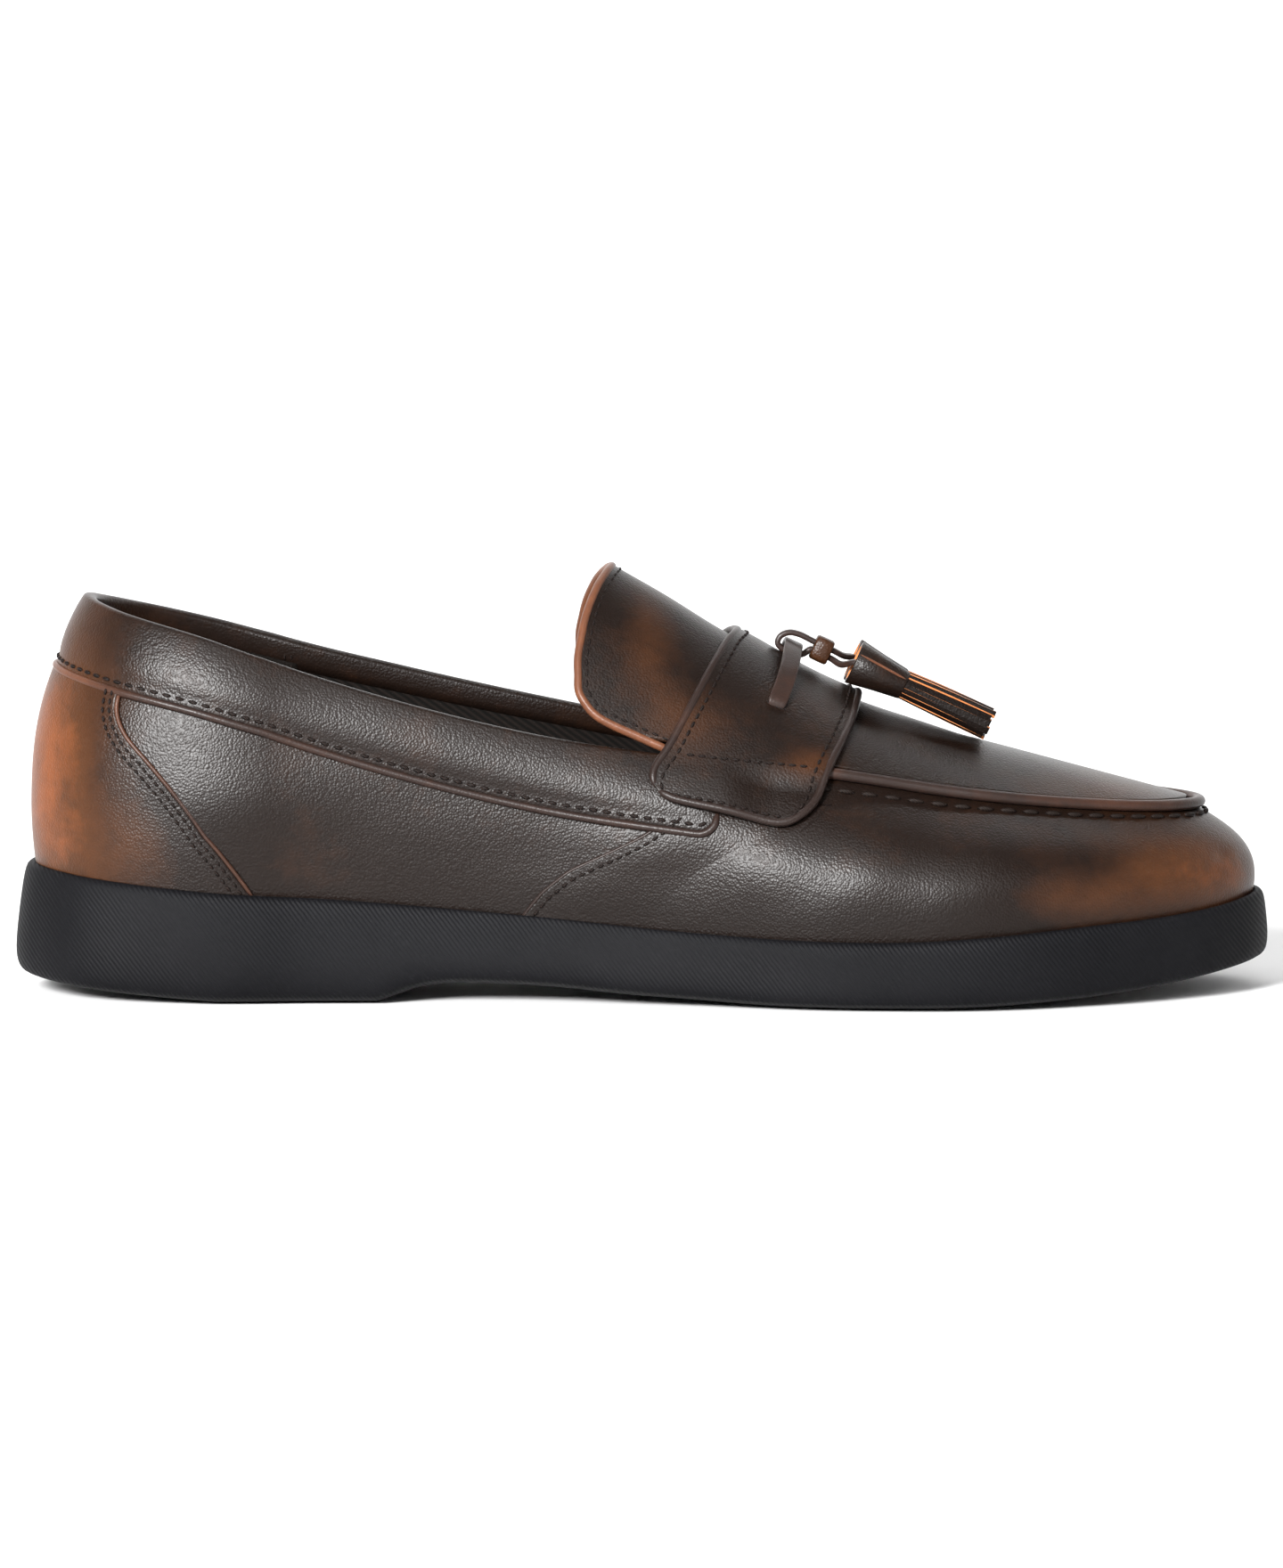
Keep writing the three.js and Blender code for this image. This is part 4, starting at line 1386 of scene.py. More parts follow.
def round_toe(start: float, count: int) -> tuple[Array, Array]:
    """Stations from one side round the toe to the other side.

    Args:
        start: Where it starts and ends.
        count: Stations on each side.

    Returns:
        Stations and sides.
    """
    side = np.linspace(start, 1, count)
    at = np.concatenate([side, side[-2::-1]])
    sign = np.concatenate([-np.ones(count), np.ones(count - 1)])
    return at, sign


def sides_of(s: Array) -> tuple[Array, Array]:
    """Splits signed stations.

    Args:
        s: Stations, below 0 on the outer side and above 0 on the inner side.

    Returns:
        Stations and sides.
    """
    return np.abs(s), np.where(s < 0, -1.0, 1.0)


@dataclass
class Part:
    """A part of the shoe: the last that it is laid on, what makes it and its materials."""

    last: Last
    maker: Maker
    finishes: Finishes

    def sew(
        self, name: str, rows: list[Path], slot: Slot, pitch: float, length: float, thick: float
    ) -> None:
        """Sews rows of stitches with the dark thread.

        Args:
            name: The piece's name.
            rows: The lines that they follow.
            slot: The record's slot, handed on to settle.
            pitch: Distance from one stitch to the next.
            length: Length of a stitch.
            thick: Thickness of the thread.
        """
        stitch = self.maker.stitches(name, rows, pitch, length, thick)
        self.maker.settle(stitch, slot, self.finishes.thread)


@dataclass
class Sole(Part):
    """The cup sole and the insole in it."""

    tread_inset: float = 8.5
    swell: float = 2.4
    rim_round: float = 1.4

    def profile(self, at: Array, sign: Array) -> tuple[Plane, Array, Array]:
        """Half sections of the sole, from the middle of the tread to the middle of the cup.

        Args:
            at: Stations.
            sign: Sides.

        Returns:
            The planes, and the reaches and heights of the corners.
        """
        s = self.last.section(at, sign)
        p, rim, side = s.plane, s.rim, s.plane.reach

        def ground(reach: Array) -> Array:
            """Height of the underside at distances from the middle line."""
            return self.last.tread(p.x + p.dx * reach)

        def floor(reach: Array) -> Array:
            """Height of the cup's floor at distances from the middle line."""
            return self.last.rim(p.x + p.dx * reach) - self.last.cup_depth

        end = side - self.tread_inset
        low = ground(end)
        share = mix(0.27, 0.34, smoothstep(at, 0.0, self.last.heel_centre))
        full = np.minimum(low + share * (rim - low), rim - 6)
        lip_t = np.clip((rim - s.feather_z) / (s.bulge_z - s.feather_z), 0, 1)
        lip = mix(s.feather_r, s.bulge_r, np.sin(lip_t * math.pi / 2)) + 0.3
        shoulder = mix(side - self.swell, side - 1, smoothstep(at, 0.3, 0.7))
        inner = s.feather_r - 3
        corners = (
            (0 * side, ground(0 * side)),
            (end * 0.5, ground(end * 0.5)),
            (end * 0.9, ground(end * 0.9)),
            (end, low),
            (mix(end, side, 0.72), low + 1.2),
            (mix(end, side, 0.94), mix(low, full, 0.4)),
            (side, full),
            (mix(side, shoulder, 0.45), mix(full, rim, 0.5)),
            (shoulder, rim - self.rim_round),
            (mix(lip, shoulder, 0.6), rim),
            (mix(lip, shoulder, 0.12), rim),
            (lip, rim - 0.35),
            (s.feather_r + 0.3, rim - self.last.cup_depth),
            (inner, floor(inner)),
            (inner * 0.5, floor(inner * 0.5)),
            (0 * side, floor(0 * side)),
        )
        r = np.stack([np.broadcast_to(c[0], side.shape) for c in corners], -1)
        z = np.stack([np.broadcast_to(c[1], side.shape) for c in corners], -1)
        return p, r, z

    def rounded(self, values: Array, times: int = 2) -> Array:
        """Cuts the corners of profiles until they are round.

        Args:
            values: One row of corners for each profile.
            times: How often to cut.

        Returns:
            The longer rows.
        """
        for _ in range(times):
            near = values[:, :-1] * 0.75 + values[:, 1:] * 0.25
            far = values[:, :-1] * 0.25 + values[:, 1:] * 0.75
            pairs = np.stack([near, far], axis=2).reshape(len(values), -1)
            values = np.concatenate([values[:, :1], pairs[:, 1:-1], values[:, -1:]], axis=1)
        return values

    def build(self) -> None:
        """Makes the sole and the insole."""
        s = np.linspace(-1, 1, 481)
        at, sign = sides_of(s)
        plane, r, z = self.profile(at, sign)
        r, z = self.rounded(r), self.rounded(z)
        wide = plane.spread()
        points = wide.at(r, z)
        outward = np.gradient(points, axis=1)
        outward = np.cross(np.gradient(points, axis=0), outward)
        lattice = Lattice(points, outward)
        side = points[:, r.shape[1] // 2] - np.array(MIDDLE)
        if np.sum(outward[:, r.shape[1] // 2] * side) < 0:
            lattice = Lattice(points, -outward)
        sole = self.maker.sheet("outsole_cup", lattice)
        self.maker.settle(sole, Slot.RUBBER, self.finishes.rubber, ("outsole",))
        self.insole()

    def insole(self) -> None:
        """Makes the insole with its rolled edge."""
        s = np.linspace(-1, 1, 241)
        at, sign = sides_of(s)
        section = self.last.section(at, sign)
        plane = section.plane
        reach = section.feather_r - 3
        rows = ((0.0, 3.0), (0.5, 3.0), (0.93, 3.0), (0.975, 2.85), (0.995, 2.4), (1.0, 0.3))
        share, height = np.array(rows).T
        r = reach[:, None] * share[None]
        wide = plane.spread()
        floor = self.last.rim(wide.x + wide.dx * r) - self.last.cup_depth
        points = wide.at(r, floor + height[None])
        lattice = shell(points, BELOW)
        sock = self.maker.sheet("insole_sock", lattice)
        self.maker.settle(sock, Slot.LINING, self.finishes.lining, ("insole",), wall=0.6)


@dataclass
class Upper(Part):
    """The wall of the upper, its top under the apron, and its linings."""

    throat_side: float = 0.532
    throat_middle: float = 0.58
    throat_fade: float = 0.7
    lining_seam: float = 0.222

    def side_wall(self, stations: Array, levels: Array) -> Lattice:
        """A lattice on the upper's wall.

        Args:
            stations: Signed stations along it.
            levels: Levels up it.

        Returns:
            The lattice.
        """
        s, level = np.meshgrid(stations, levels, indexing="ij")
        return shell(self.last.wall(*sides_of(s), level))

    def leaned(self, at: Array, up: Array) -> Array:
        """Stations of the rows over the top, which lean back to the throat.

        Args:
            at: Stations at the edge.
            up: Rows of the top.

        Returns:
            The stations.
        """
        fade = 1 - smoothstep(at, self.throat_side, self.throat_fade)
        return at + (self.throat_middle - self.throat_side) * up * fade

    def relief(self, points: Array) -> Array:
        """Soft creases and puckers of the vamp.

        Args:
            points: Points of the wall.

        Returns:
            How far the wall stands off its plain shape there.
        """
        x, z = points[..., 0], points[..., 2]
        folds = (
            (190.0, 36.0, 8.0, 12.0, -0.25),
            (201.0, 36.0, 8.0, 14.0, 0.3),
            (214.0, 36.0, 8.0, 12.0, -0.2),
            (284.0, 33.0, 2.2, 1.6, -0.5),
            (176.0, 32.0, 10.0, 7.0, 0.3),
            (140.0, 45.0, 14.0, 4.0, -0.3),
            (58.0, 47.0, 30.0, 11.0, 1.6),
            (100.0, 40.0, 24.0, 8.0, 0.5),
        )
        depth = np.zeros(x.shape)
        for fx, fz, wide, high, strength in folds:
            far = ((x - fx - 0.25 * (z - fz)) / wide) ** 2 + ((z - fz) / high) ** 2
            depth = depth + strength * np.exp(-far)
        return depth

    def build(self) -> None:
        """Makes the upper and its linings."""
        wall = self.side_wall(np.linspace(-1, 1, 521), np.linspace(0, 1, 56))
        wall = wall.lifted(self.relief(wall.points) * smoothstep(wall.points[..., 2], 20, 28))
        outer = self.maker.sheet("vamp_and_quarters", wall)
        self.maker.settle(outer, Slot.LEATHER, self.finishes.upper, ("upper",), wall=1.0)
        self.top()
        self.linings()

    def top(self) -> None:
        """Makes the top of the upper, under the apron, with its lining."""
        at, sign = round_toe(self.throat_side, 90)
        rows = np.linspace(0, 1, 22)
        along, rise = np.meshgrid(at, rows, indexing="ij")
        side = np.broadcast_to(sign[:, None], along.shape)
        points = self.last.top(self.leaned(along, rise), side, rise)
        lattice = shell(points)
        cover = self.maker.sheet("vamp_top", lattice)
        self.maker.settle(cover, Slot.LEATHER, self.finishes.upper, wall=0.8)
        under = self.maker.sheet("toe_lining", lattice.lifted(np.full(rise.shape, -1.2)))
        self.maker.relax(under, (160, -5, 30), (234, 9, 120), 6)
        self.maker.settle(under, Slot.LINING, self.finishes.twill, wall=0.8)

    def linings(self) -> None:
        """Makes the leather lining of the heel and the twill lining ahead of it."""
        seam = self.lining_seam
        levels = np.linspace(0.08, 1, 30)
        heel = self.side_wall(np.linspace(-seam, seam, 90), levels)
        heel = heel.lifted(np.full((90, 30), -1.5))
        piece = self.maker.sheet("heel_lining", heel)
        self.maker.settle(piece, Slot.LINING, self.finishes.lining, wall=0.7)
        for name, sign in (("outer", -1), ("inner", 1)):
            side = self.side_wall(np.linspace(sign * (seam - 0.012), sign * 1.0, 120), levels)
            side = side.lifted(np.full((120, 30), -1.2))
            piece = self.maker.sheet(f"twill_lining_{name}", side)
            self.maker.settle(piece, Slot.LINING, self.finishes.twill, wall=0.7)
            height = np.linspace(0.35, 0.98, 40)
            line = self.last.path_on("wall", np.full(40, seam), sign, height)
            rows = [line.moved(lift=-2.35, aside=shift) for shift in (1.4, 3.0)]
            self.sew(f"lining_stitches_{name}", rows, Slot.LINING, 2.4, 1.7, 0.5)


@dataclass
class QuarterSeam(Part):
    """The curved seam where the vamp laps over the quarter."""

    rise: float = 0.9
    reach: float = 34.0
    line: tuple = (
        (119.0, 17.0),
        (120.5, 21.0),
        (124.7, 26.2),
        (131.0, 31.3),
        (139.4, 35.2),
        (147.8, 39.3),
        (153.0, 42.7),
        (158.0, 47.0),
    )

    def path(self, sign: float, shift: float = 0.0) -> Path:
        """The seam's line.

        Args:
            sign: The side.
            shift: How far ahead of the seam.

        Returns:
            The line.
        """
        heights = np.linspace(self.line[0][1], self.line[-1][1], 80)
        x = np.interp(heights, [z for _, z in self.line], [x for x, _ in self.line])
        for _ in range(6):
            x[1:-1] = (x[:-2] + 2 * x[1:-1] + x[2:]) / 4
        at = (x + shift) / self.last.length
        level = self.last.level_at(at, sign, heights)
        return self.last.path_on("wall", at, sign, level)

    def build(self) -> None:
        """Makes the lap, its edge and its stitches on both sides."""
        for name, sign in (("outer", -1.0), ("inner", 1.0)):
            shifts = np.concatenate([[0.0, 0.4, 1.0, 2.0], np.linspace(4, self.reach, 22)])
            rows = [self.path(sign, shift).points for shift in shifts]
            points = np.stack(rows)
            lift = self.rise * (1 - smoothstep(shifts, 6, self.reach)) - 0.06
            lift[0] = self.rise * 0.35
            lattice = shell(points)
            lattice = lattice.lifted(np.repeat(lift[:, None], points.shape[1], 1))
            lap = self.maker.sheet(f"vamp_lap_{name}", lattice)
            self.maker.settle(lap, Slot.LEATHER, self.finishes.upper, wall=0.5)
            edge = self.path(sign).even(1.0)
            bead = self.maker.tube(f"vamp_lap_edge_{name}", edge.moved(lift=0.35), 0.45, 0.5, 8)
            self.maker.settle(bead, Slot.LEATHER, self.finishes.edge)
            row = edge.moved(lift=self.rise + 0.05, aside=-1.9 * sign)
            self.sew(f"vamp_lap_stitches_{name}", [row], Slot.LEATHER, 2.4, 1.8, 0.8)


@dataclass
class CollarBand(Part):
    """The padded band round the topline, with its piping, stitches and rolled top."""

    end: float = 0.56
    width: float = 16.0
    pad: float = 1.9
    piping: float = 0.95

    def low(self, at: Array, sign: Array) -> Array:
        """Level of the band's lower edge, which is rounded off at its front end.

        Args:
            at: Stations.
            sign: Sides.

        Returns:
            The levels.
        """
        near = np.clip(1 - (self.end - at) * self.last.length / 5.0, 0, 1)
        width = self.width - 6.0 * (1 - np.sqrt(1 - near * near))
        edge = self.last.section(at, sign).edge_z
        return self.last.level_at(at, sign, edge - width)

    def build(self) -> None:
        """Makes the band."""
        s = np.linspace(-self.end, self.end, 361)
        at, sign = sides_of(s)
        low = self.low(at, sign)
        rows = (
            (0.0, 0.1),
            (0.03, 0.75),
            (0.07, 1.0),
            (0.12, 1.1),
            (0.17, 1.05),
            (0.25, 1.4),
            (0.36, 1.7),
            (0.5, self.pad),
            (0.64, self.pad),
            (0.76, 1.8),
            (0.87, 1.6),
            (0.95, 1.35),
            (1.0, 1.15),
        )
        ups, lifts = np.array(rows).T
        level = mix(low[:, None], 1.0, ups[None])
        points = self.last.wall(at[:, None], sign[:, None], level)
        lattice = shell(points)
        normals = lattice.normals()
        face = points + normals * lifts[None, :, None]
        over = unit(points[:, -1] - points[:, -2])
        normal = normals[:, -1]
        angles = np.radians(np.array([25, 50, 75, 100, 125, 150, 175]))
        roll = [
            points[:, -1] + normal * (-0.55 + 1.7 * math.cos(a)) + over * (1.1 * math.sin(a))
            for a in angles
        ]
        inside = self.last.wall(at, sign, 1.0 - 0.05)
        roll.append(inside + normal * -2.25)
        roll.append(self.last.wall(at, sign, 1.0 - 0.09) + normal * -2.1)
        points = np.concatenate([face, np.stack(roll, axis=1)], axis=1)
        outward = points - np.array(ABOVE)
        outward[:, len(rows) + 4 :] *= 0
        band = self.maker.sheet("collar_band_padded", Lattice(points, outward))
        self.maker.settle(band, Slot.BAND, self.finishes.upper, ("collar_band",), wall=0.4)
        self.trims(at, sign, low)

    def trims(self, at: Array, sign: Array, low: Array) -> None:
        """Makes the piping and the stitch row above it.

        Args:
            at: Stations along the band.
            sign: Their sides.
            low: Levels of its lower edge.
        """
        points = self.last.wall(at, sign, low)
        lattice = self.last.wall(at[:, None], sign[:, None], low[:, None] + np.array([0, 0.02]))
        normals = shell(lattice).normals()[:, 0]
        line = Path(points, normals).even(1.1)
        high = line.moved(lift=0.75)
        tone = tone_of(line.points)
        bead = self.maker.tube("collar_piping", high, self.piping, self.piping, tone=tone)
        self.maker.settle(bead, Slot.BAND, self.finishes.edge)
        turn = -1 if line.aside()[:, 2].mean() < 0 else 1
        row = line.moved(lift=1.12, aside=2.1 * turn)
        row = Path(row.points[3:-3], row.normals[3:-3])
        self.sew("collar_stitches", [row], Slot.BAND, 3.2, 2.3, 1.0)


@dataclass
class HeelCounter(Part):
    """The stiff patch round the heel, with its folded edge and two rows of stitches."""

    thick: float = 1.3
    band: float = 16.0

    def levels(self, at: Array, sign: Array, up: Array) -> Array:
        """The wall's levels that the counter covers.

        Args:
            at: Stations.
            sign: Sides.
            up: From 0 at the rim to 1 at the collar band.

        Returns:
            The levels.
        """
        section = self.last.section(at, sign)
        low = self.last.level_at(at, sign, section.rim - 0.6)
        high = self.last.level_at(at, sign, section.edge_z - self.band + 0.6)
        return mix(low, high, up)

    def build(self) -> None:
        """Makes the counter."""
        front = Curve.of(COUNTER_EDGE, 1)
        ups = np.linspace(0, 1, 48)
        share = np.concatenate([np.linspace(-1, -0.97, 4), np.linspace(-0.96, 0.96, 150)])
        share = np.concatenate([share, np.linspace(0.97, 1, 4)])
        s = share[:, None] * front(ups)[None]
        at, sign = sides_of(s)
        level = self.levels(at, sign, np.broadcast_to(ups[None], s.shape))
        points = self.last.wall(at, sign, level)
        lattice = shell(points)
        edge = (1 - np.abs(share)) * 0.19 * self.last.length
        lift = self.thick * np.clip(0.35 + edge / 0.6, 0, 1)
        lattice = lattice.lifted(np.repeat(lift[:, None], len(ups), 1))
        counter = self.maker.sheet("heel_counter_patch", lattice)
        self.maker.settle(counter, Slot.COUNTER, self.finishes.upper, ("heel_counter",), wall=0.6)
        for name, sign in (("outer", -1.0), ("inner", 1.0)):
            level = self.levels(front(ups), sign, ups)
            line = self.last.path_on("wall", front(ups), sign, level).even(0.9)
            high, tone = line.moved(lift=0.8), tone_of(line.points) + 0.08
            bead = self.maker.tube(f"counter_edge_{name}", high, 0.5, 0.6, 8, tone=tone)
            self.maker.settle(bead, Slot.COUNTER, self.finishes.edge)
            turn = -1 if line.moved(aside=1.0).points[:, 0].mean() > line.points[:, 0].mean() else 1
            rows = [line.moved(lift=self.thick + 0.05, aside=turn * far) for far in (1.7, 3.4)]
            self.sew(f"counter_stitches_{name}", rows, Slot.COUNTER, 2.1, 1.6, 0.75)


@dataclass
class Apron(Part):
    """The apron and tongue in one sheet, its binding, and the hand-sewn seam round it."""

    upper: Upper
    thick: float = 1.4
    clear: float = 0.3
    start: float = 0.05
    seam_start: float = 0.652
    stitch_pitch: float = 5.4
    bind: float = 0.6

    def build(self) -> None:
        """Makes the apron, its binding and its seam."""
        backs = np.linspace(0, 1, 40)[:-1]
        at, sign = round_toe(self.upper.throat_side, 110)
        back = np.concatenate([backs, np.ones(len(at)), backs[::-1]])
        at = np.concatenate([np.full(39, 0.532), at, np.full(39, 0.532)])
        sign = np.concatenate([-np.ones(39), sign, np.ones(39)])
        rows = np.concatenate([np.linspace(self.start, 0.2, 14), np.linspace(0.22, 1, 44)])
        along, up = np.meshgrid(at, rows, indexing="ij")
        front = self.upper.leaned(along, up)
        edge = Curve.of(TONGUE_EDGE, 1, True)(up) + self.bind / self.last.length
        station = mix(edge, front, back[:, None])
        side = np.broadcast_to(sign[:, None], along.shape)
        points = self.last.top(station, side, up)
        lattice = shell(points)
        sheet = lattice.lifted(np.full(up.shape, self.clear + self.thick))
        apron = self.maker.sheet("apron_and_tongue", sheet)
        self.maker.relax(apron, (130, -5, 40), (234, 9, 120), 14)
        nodes = ("apron_tongue",)
        self.maker.settle(apron, Slot.APRON, self.finishes.upper, nodes, wall=self.thick)
        self.binding()
        self.seam()

    def binding(self) -> None:
        """Makes the round binding of the tongue's free edge and its stitches."""
        edge = Curve.of(TONGUE_EDGE, 1, True)
        ups = np.concatenate([np.linspace(0.005, 0.12, 40), np.linspace(0.13, 0.99, 80)])
        outer = self.last.path_on("top", edge(ups), -1.0, ups)
        inner = self.last.path_on("top", edge(ups), 1.0, ups)
        points = np.concatenate([outer.points, inner.points[::-1]])
        normals = np.concatenate([outer.normals, inner.normals[::-1]])
        line = Path(points, normals).even(1.2)
        middle = self.clear + self.thick * 0.5
        turn = 1 if line.moved(aside=1.0).points[:, 0].mean() > line.points[:, 0].mean() else -1
        rim = line.moved(lift=middle, aside=self.bind * turn)
        tone = np.full(len(line.points), 0.75)
        bead = self.maker.tube("tongue_binding", rim, 1.0, 1.2, tone=tone)
        self.maker.settle(bead, Slot.APRON, self.finishes.edge)
        row = line.moved(lift=self.clear + self.thick + 0.05, aside=2.6 * turn)
        self.sew("tongue_stitches", [row], Slot.APRON, 2.6, 1.8, 0.6)

    def seam(self) -> None:
        """Makes the raised seam and its hand stitches."""
        at, sign = round_toe(self.seam_start - 0.02, 120)
        section = self.last.section(at, sign)
        radial = np.stack([section.plane.dx, section.plane.dy, 0 * at], -1)
        lean = math.radians(60)
        up = np.array([0.0, 0.0, 1.0])
        out = radial * math.cos(lean) + up * math.sin(lean)
        centre = section.plane.at(section.edge_r, section.edge_z)
        line = Path(centre, unit(out)).even(1.0)
        ridge = self.maker.tube("apron_seam_ridge", line.moved(lift=1.3), 1.45, 1.35, 14)
        self.maker.settle(ridge, Slot.LEATHER, self.finishes.edge, ("apron_seam",))
        low = self.last.wall(at, sign, np.full(at.shape, 0.93))
        low_up = self.last.wall(at, sign, np.full(at.shape, 0.95))
        along = np.gradient(low, axis=0)
        normal = unit(np.cross(along, low_up - low))
        if np.sum(normal * radial) < 0:
            normal = -normal
        row = Path(low, normal).even(1.0).moved(lift=0.25)
        stitch = self.maker.stitches("apron_hand_stitches", [row], self.stitch_pitch, 4.2, 1.3)
        self.maker.settle(stitch, Slot.LEATHER, self.finishes.hand_thread)


@dataclass
class Strap(Part):
    """The saddle strap over the instep, with its piping and stitches."""

    thick: float = 1.8
    side_share: float = 0.35
    end_rear: float = 0.516
    end_front: float = 0.438
    over_apron: float = 2.18
    over_band: float = 2.4
    clear: float = 0.3
    piping: float = 1.0
    corner: float = 0.13

    def station(self, up: Array, along: Array) -> Array:
        """Stations of places on the strap.

        Args:
            up: Rows up the strap.
            along: Places across it.

        Returns:
            The stations.
        """
        rear, front = (Curve.of(STRAP_EDGE, column, True)(up) for column in (1, 2))
        return mix(rear, front, along)

    def points(self, sign: Array, up: Array, along: Array) -> Array:
        """Points of the surface under the strap.

        Args:
            sign: Sides.
            up: From 0 at the lower end to 1 on the middle line.
            along: From 0 at the rear edge to 1 at the front edge.

        Returns:
            The points.
        """
        at = self.station(up, along)
        over = np.clip((up - self.side_share) / (1 - self.side_share), 0, 1)
        end = self.last.back_height * mix(self.end_rear, self.end_front, along)
        near = np.clip(1 - np.minimum(along, 1 - along) / self.corner, 0, 1)
        end = end + 4.0 * (1 - np.sqrt(1 - near * near))
        low = self.last.level_at(at, sign, end)
        level = mix(low, 1.0, np.clip(up / self.side_share, 0, 1))
        side = self.last.wall(at, sign, level)
        top = self.last.top(at, sign, over)
        return np.where((up > self.side_share)[..., None], top, side)

    def gap(self, up: Array, along: Array) -> Array:
        """How far the strap's underside stands off the upper.

        Args:
            up: Rows up the strap.
            along: Places across it.

        Returns:
            The gaps.
        """
        at = self.station(up, along)
        side = mix(self.over_band, self.clear, smoothstep(at, 0.56, 0.605))
        return mix(side, self.over_apron, smoothstep(up, 0.2, self.side_share))

    def lattice(self) -> tuple[Lattice, Array]:
        """The strap's outer face before its piping.

        Returns:
            The face and its rows up the strap.
        """
        half = np.concatenate([np.linspace(0.02, 0.35, 40), np.linspace(0.36, 1, 70)])
        up = np.concatenate([half, half[-2::-1]])
        sign = np.concatenate([-np.ones(len(half)), np.ones(len(half) - 1)])
        along = np.linspace(0.025, 0.975, 44)
        ups, alongs = np.meshgrid(up, along, indexing="ij")
        signs = np.broadcast_to(sign[:, None], ups.shape)
        points = self.points(signs, ups, alongs)
        for _ in range(30):
            middle = (points[:-2] + points[2:]) / 2
            near = np.exp(-(((ups[1:-1] - self.side_share) / 0.09) ** 2))[..., None]
            points[1:-1] = mix(points[1:-1], middle, 0.5 * near)
        lattice = shell(points)
        normals = lattice.normals()
        for _ in range(8):
            normals[:, 1:-1] = (normals[:, :-2] + 2 * normals[:, 1:-1] + normals[:, 2:]) / 4
            normals[1:-1] = (normals[:-2] + 2 * normals[1:-1] + normals[2:]) / 4
            normals[:, 0], normals[:, -1] = normals[:, 1], normals[:, -2]
            normals[0], normals[-1] = normals[1], normals[-2]
        height = (self.gap(ups, alongs) + self.thick)[..., None]
        return Lattice(points + unit(normals) * height, lattice.outward), ups

    def build(self) -> None:
        """Makes the strap."""
        lattice, ups = self.lattice()
        face = self.maker.sheet("saddle_strap_face", lattice)
        nodes = ("saddle_strap",)
        self.maker.settle(face, Slot.STRAP, self.finishes.upper, nodes, wall=self.thick)
        points, normals = lattice.points, lattice.normals()
        loop = [(points[:, 0], normals[:, 0]), (points[-1], normals[-1])]
        loop += [(points[::-1, -1], normals[::-1, -1]), (points[0, ::-1], normals[0, ::-1])]
        line = Path(
            np.concatenate([part[0] for part in loop]),
            np.concatenate([part[1] for part in loop]),
        ).even(1.1)
        for _ in range(10):
            for row in (line.points, line.normals):
                row[1:-1] = (row[:-2] + 2 * row[1:-1] + row[2:]) / 4
        low, tone = line.moved(lift=-0.5), tone_of(line.points) * 0.86
        bead = self.maker.tube("strap_piping", low, self.piping, self.piping, tone=tone)
        self.maker.settle(bead, Slot.STRAP, self.finishes.edge)
        count = points.shape[0]
        cross = [int(np.argmin(np.abs(ups[: count // 2, 0] - value))) for value in (0.05, 0.335)]
        inset, trim = 3, slice(5, -5)
        places = [(trim, column) for column in (inset, points.shape[1] - 1 - inset)]
        places += [(row, trim) for index in cross for row in (index, count - 1 - index)]
        rows = [Path(points[place], normals[place]).moved(lift=0.1) for place in places]
        self.sew("strap_stitches", rows, Slot.STRAP, 2.5, 1.9, 0.75)


def smooth_line(rows: Array, count: int) -> Array:
    """A smooth line through points.

    Args:
        rows: The points.
        count: How many points to return.

    Returns:
        The line's points at an even step.
    """
    rows = np.asarray(rows, float)
    keys = np.concatenate([[0], np.cumsum(np.linalg.norm(np.diff(rows, axis=0), axis=1) ** 0.5)])
    fine = np.linspace(0, keys[-1], count * 4)
    line = np.stack([Curve(tuple(keys), tuple(rows[:, k]))(fine) for k in range(3)], 1)
    path = Path(line, np.zeros(line.shape))
    spots = np.linspace(0, path.distances()[-1], count)
    return np.stack([np.interp(spots, path.distances(), line[:, k]) for k in range(3)], 1)


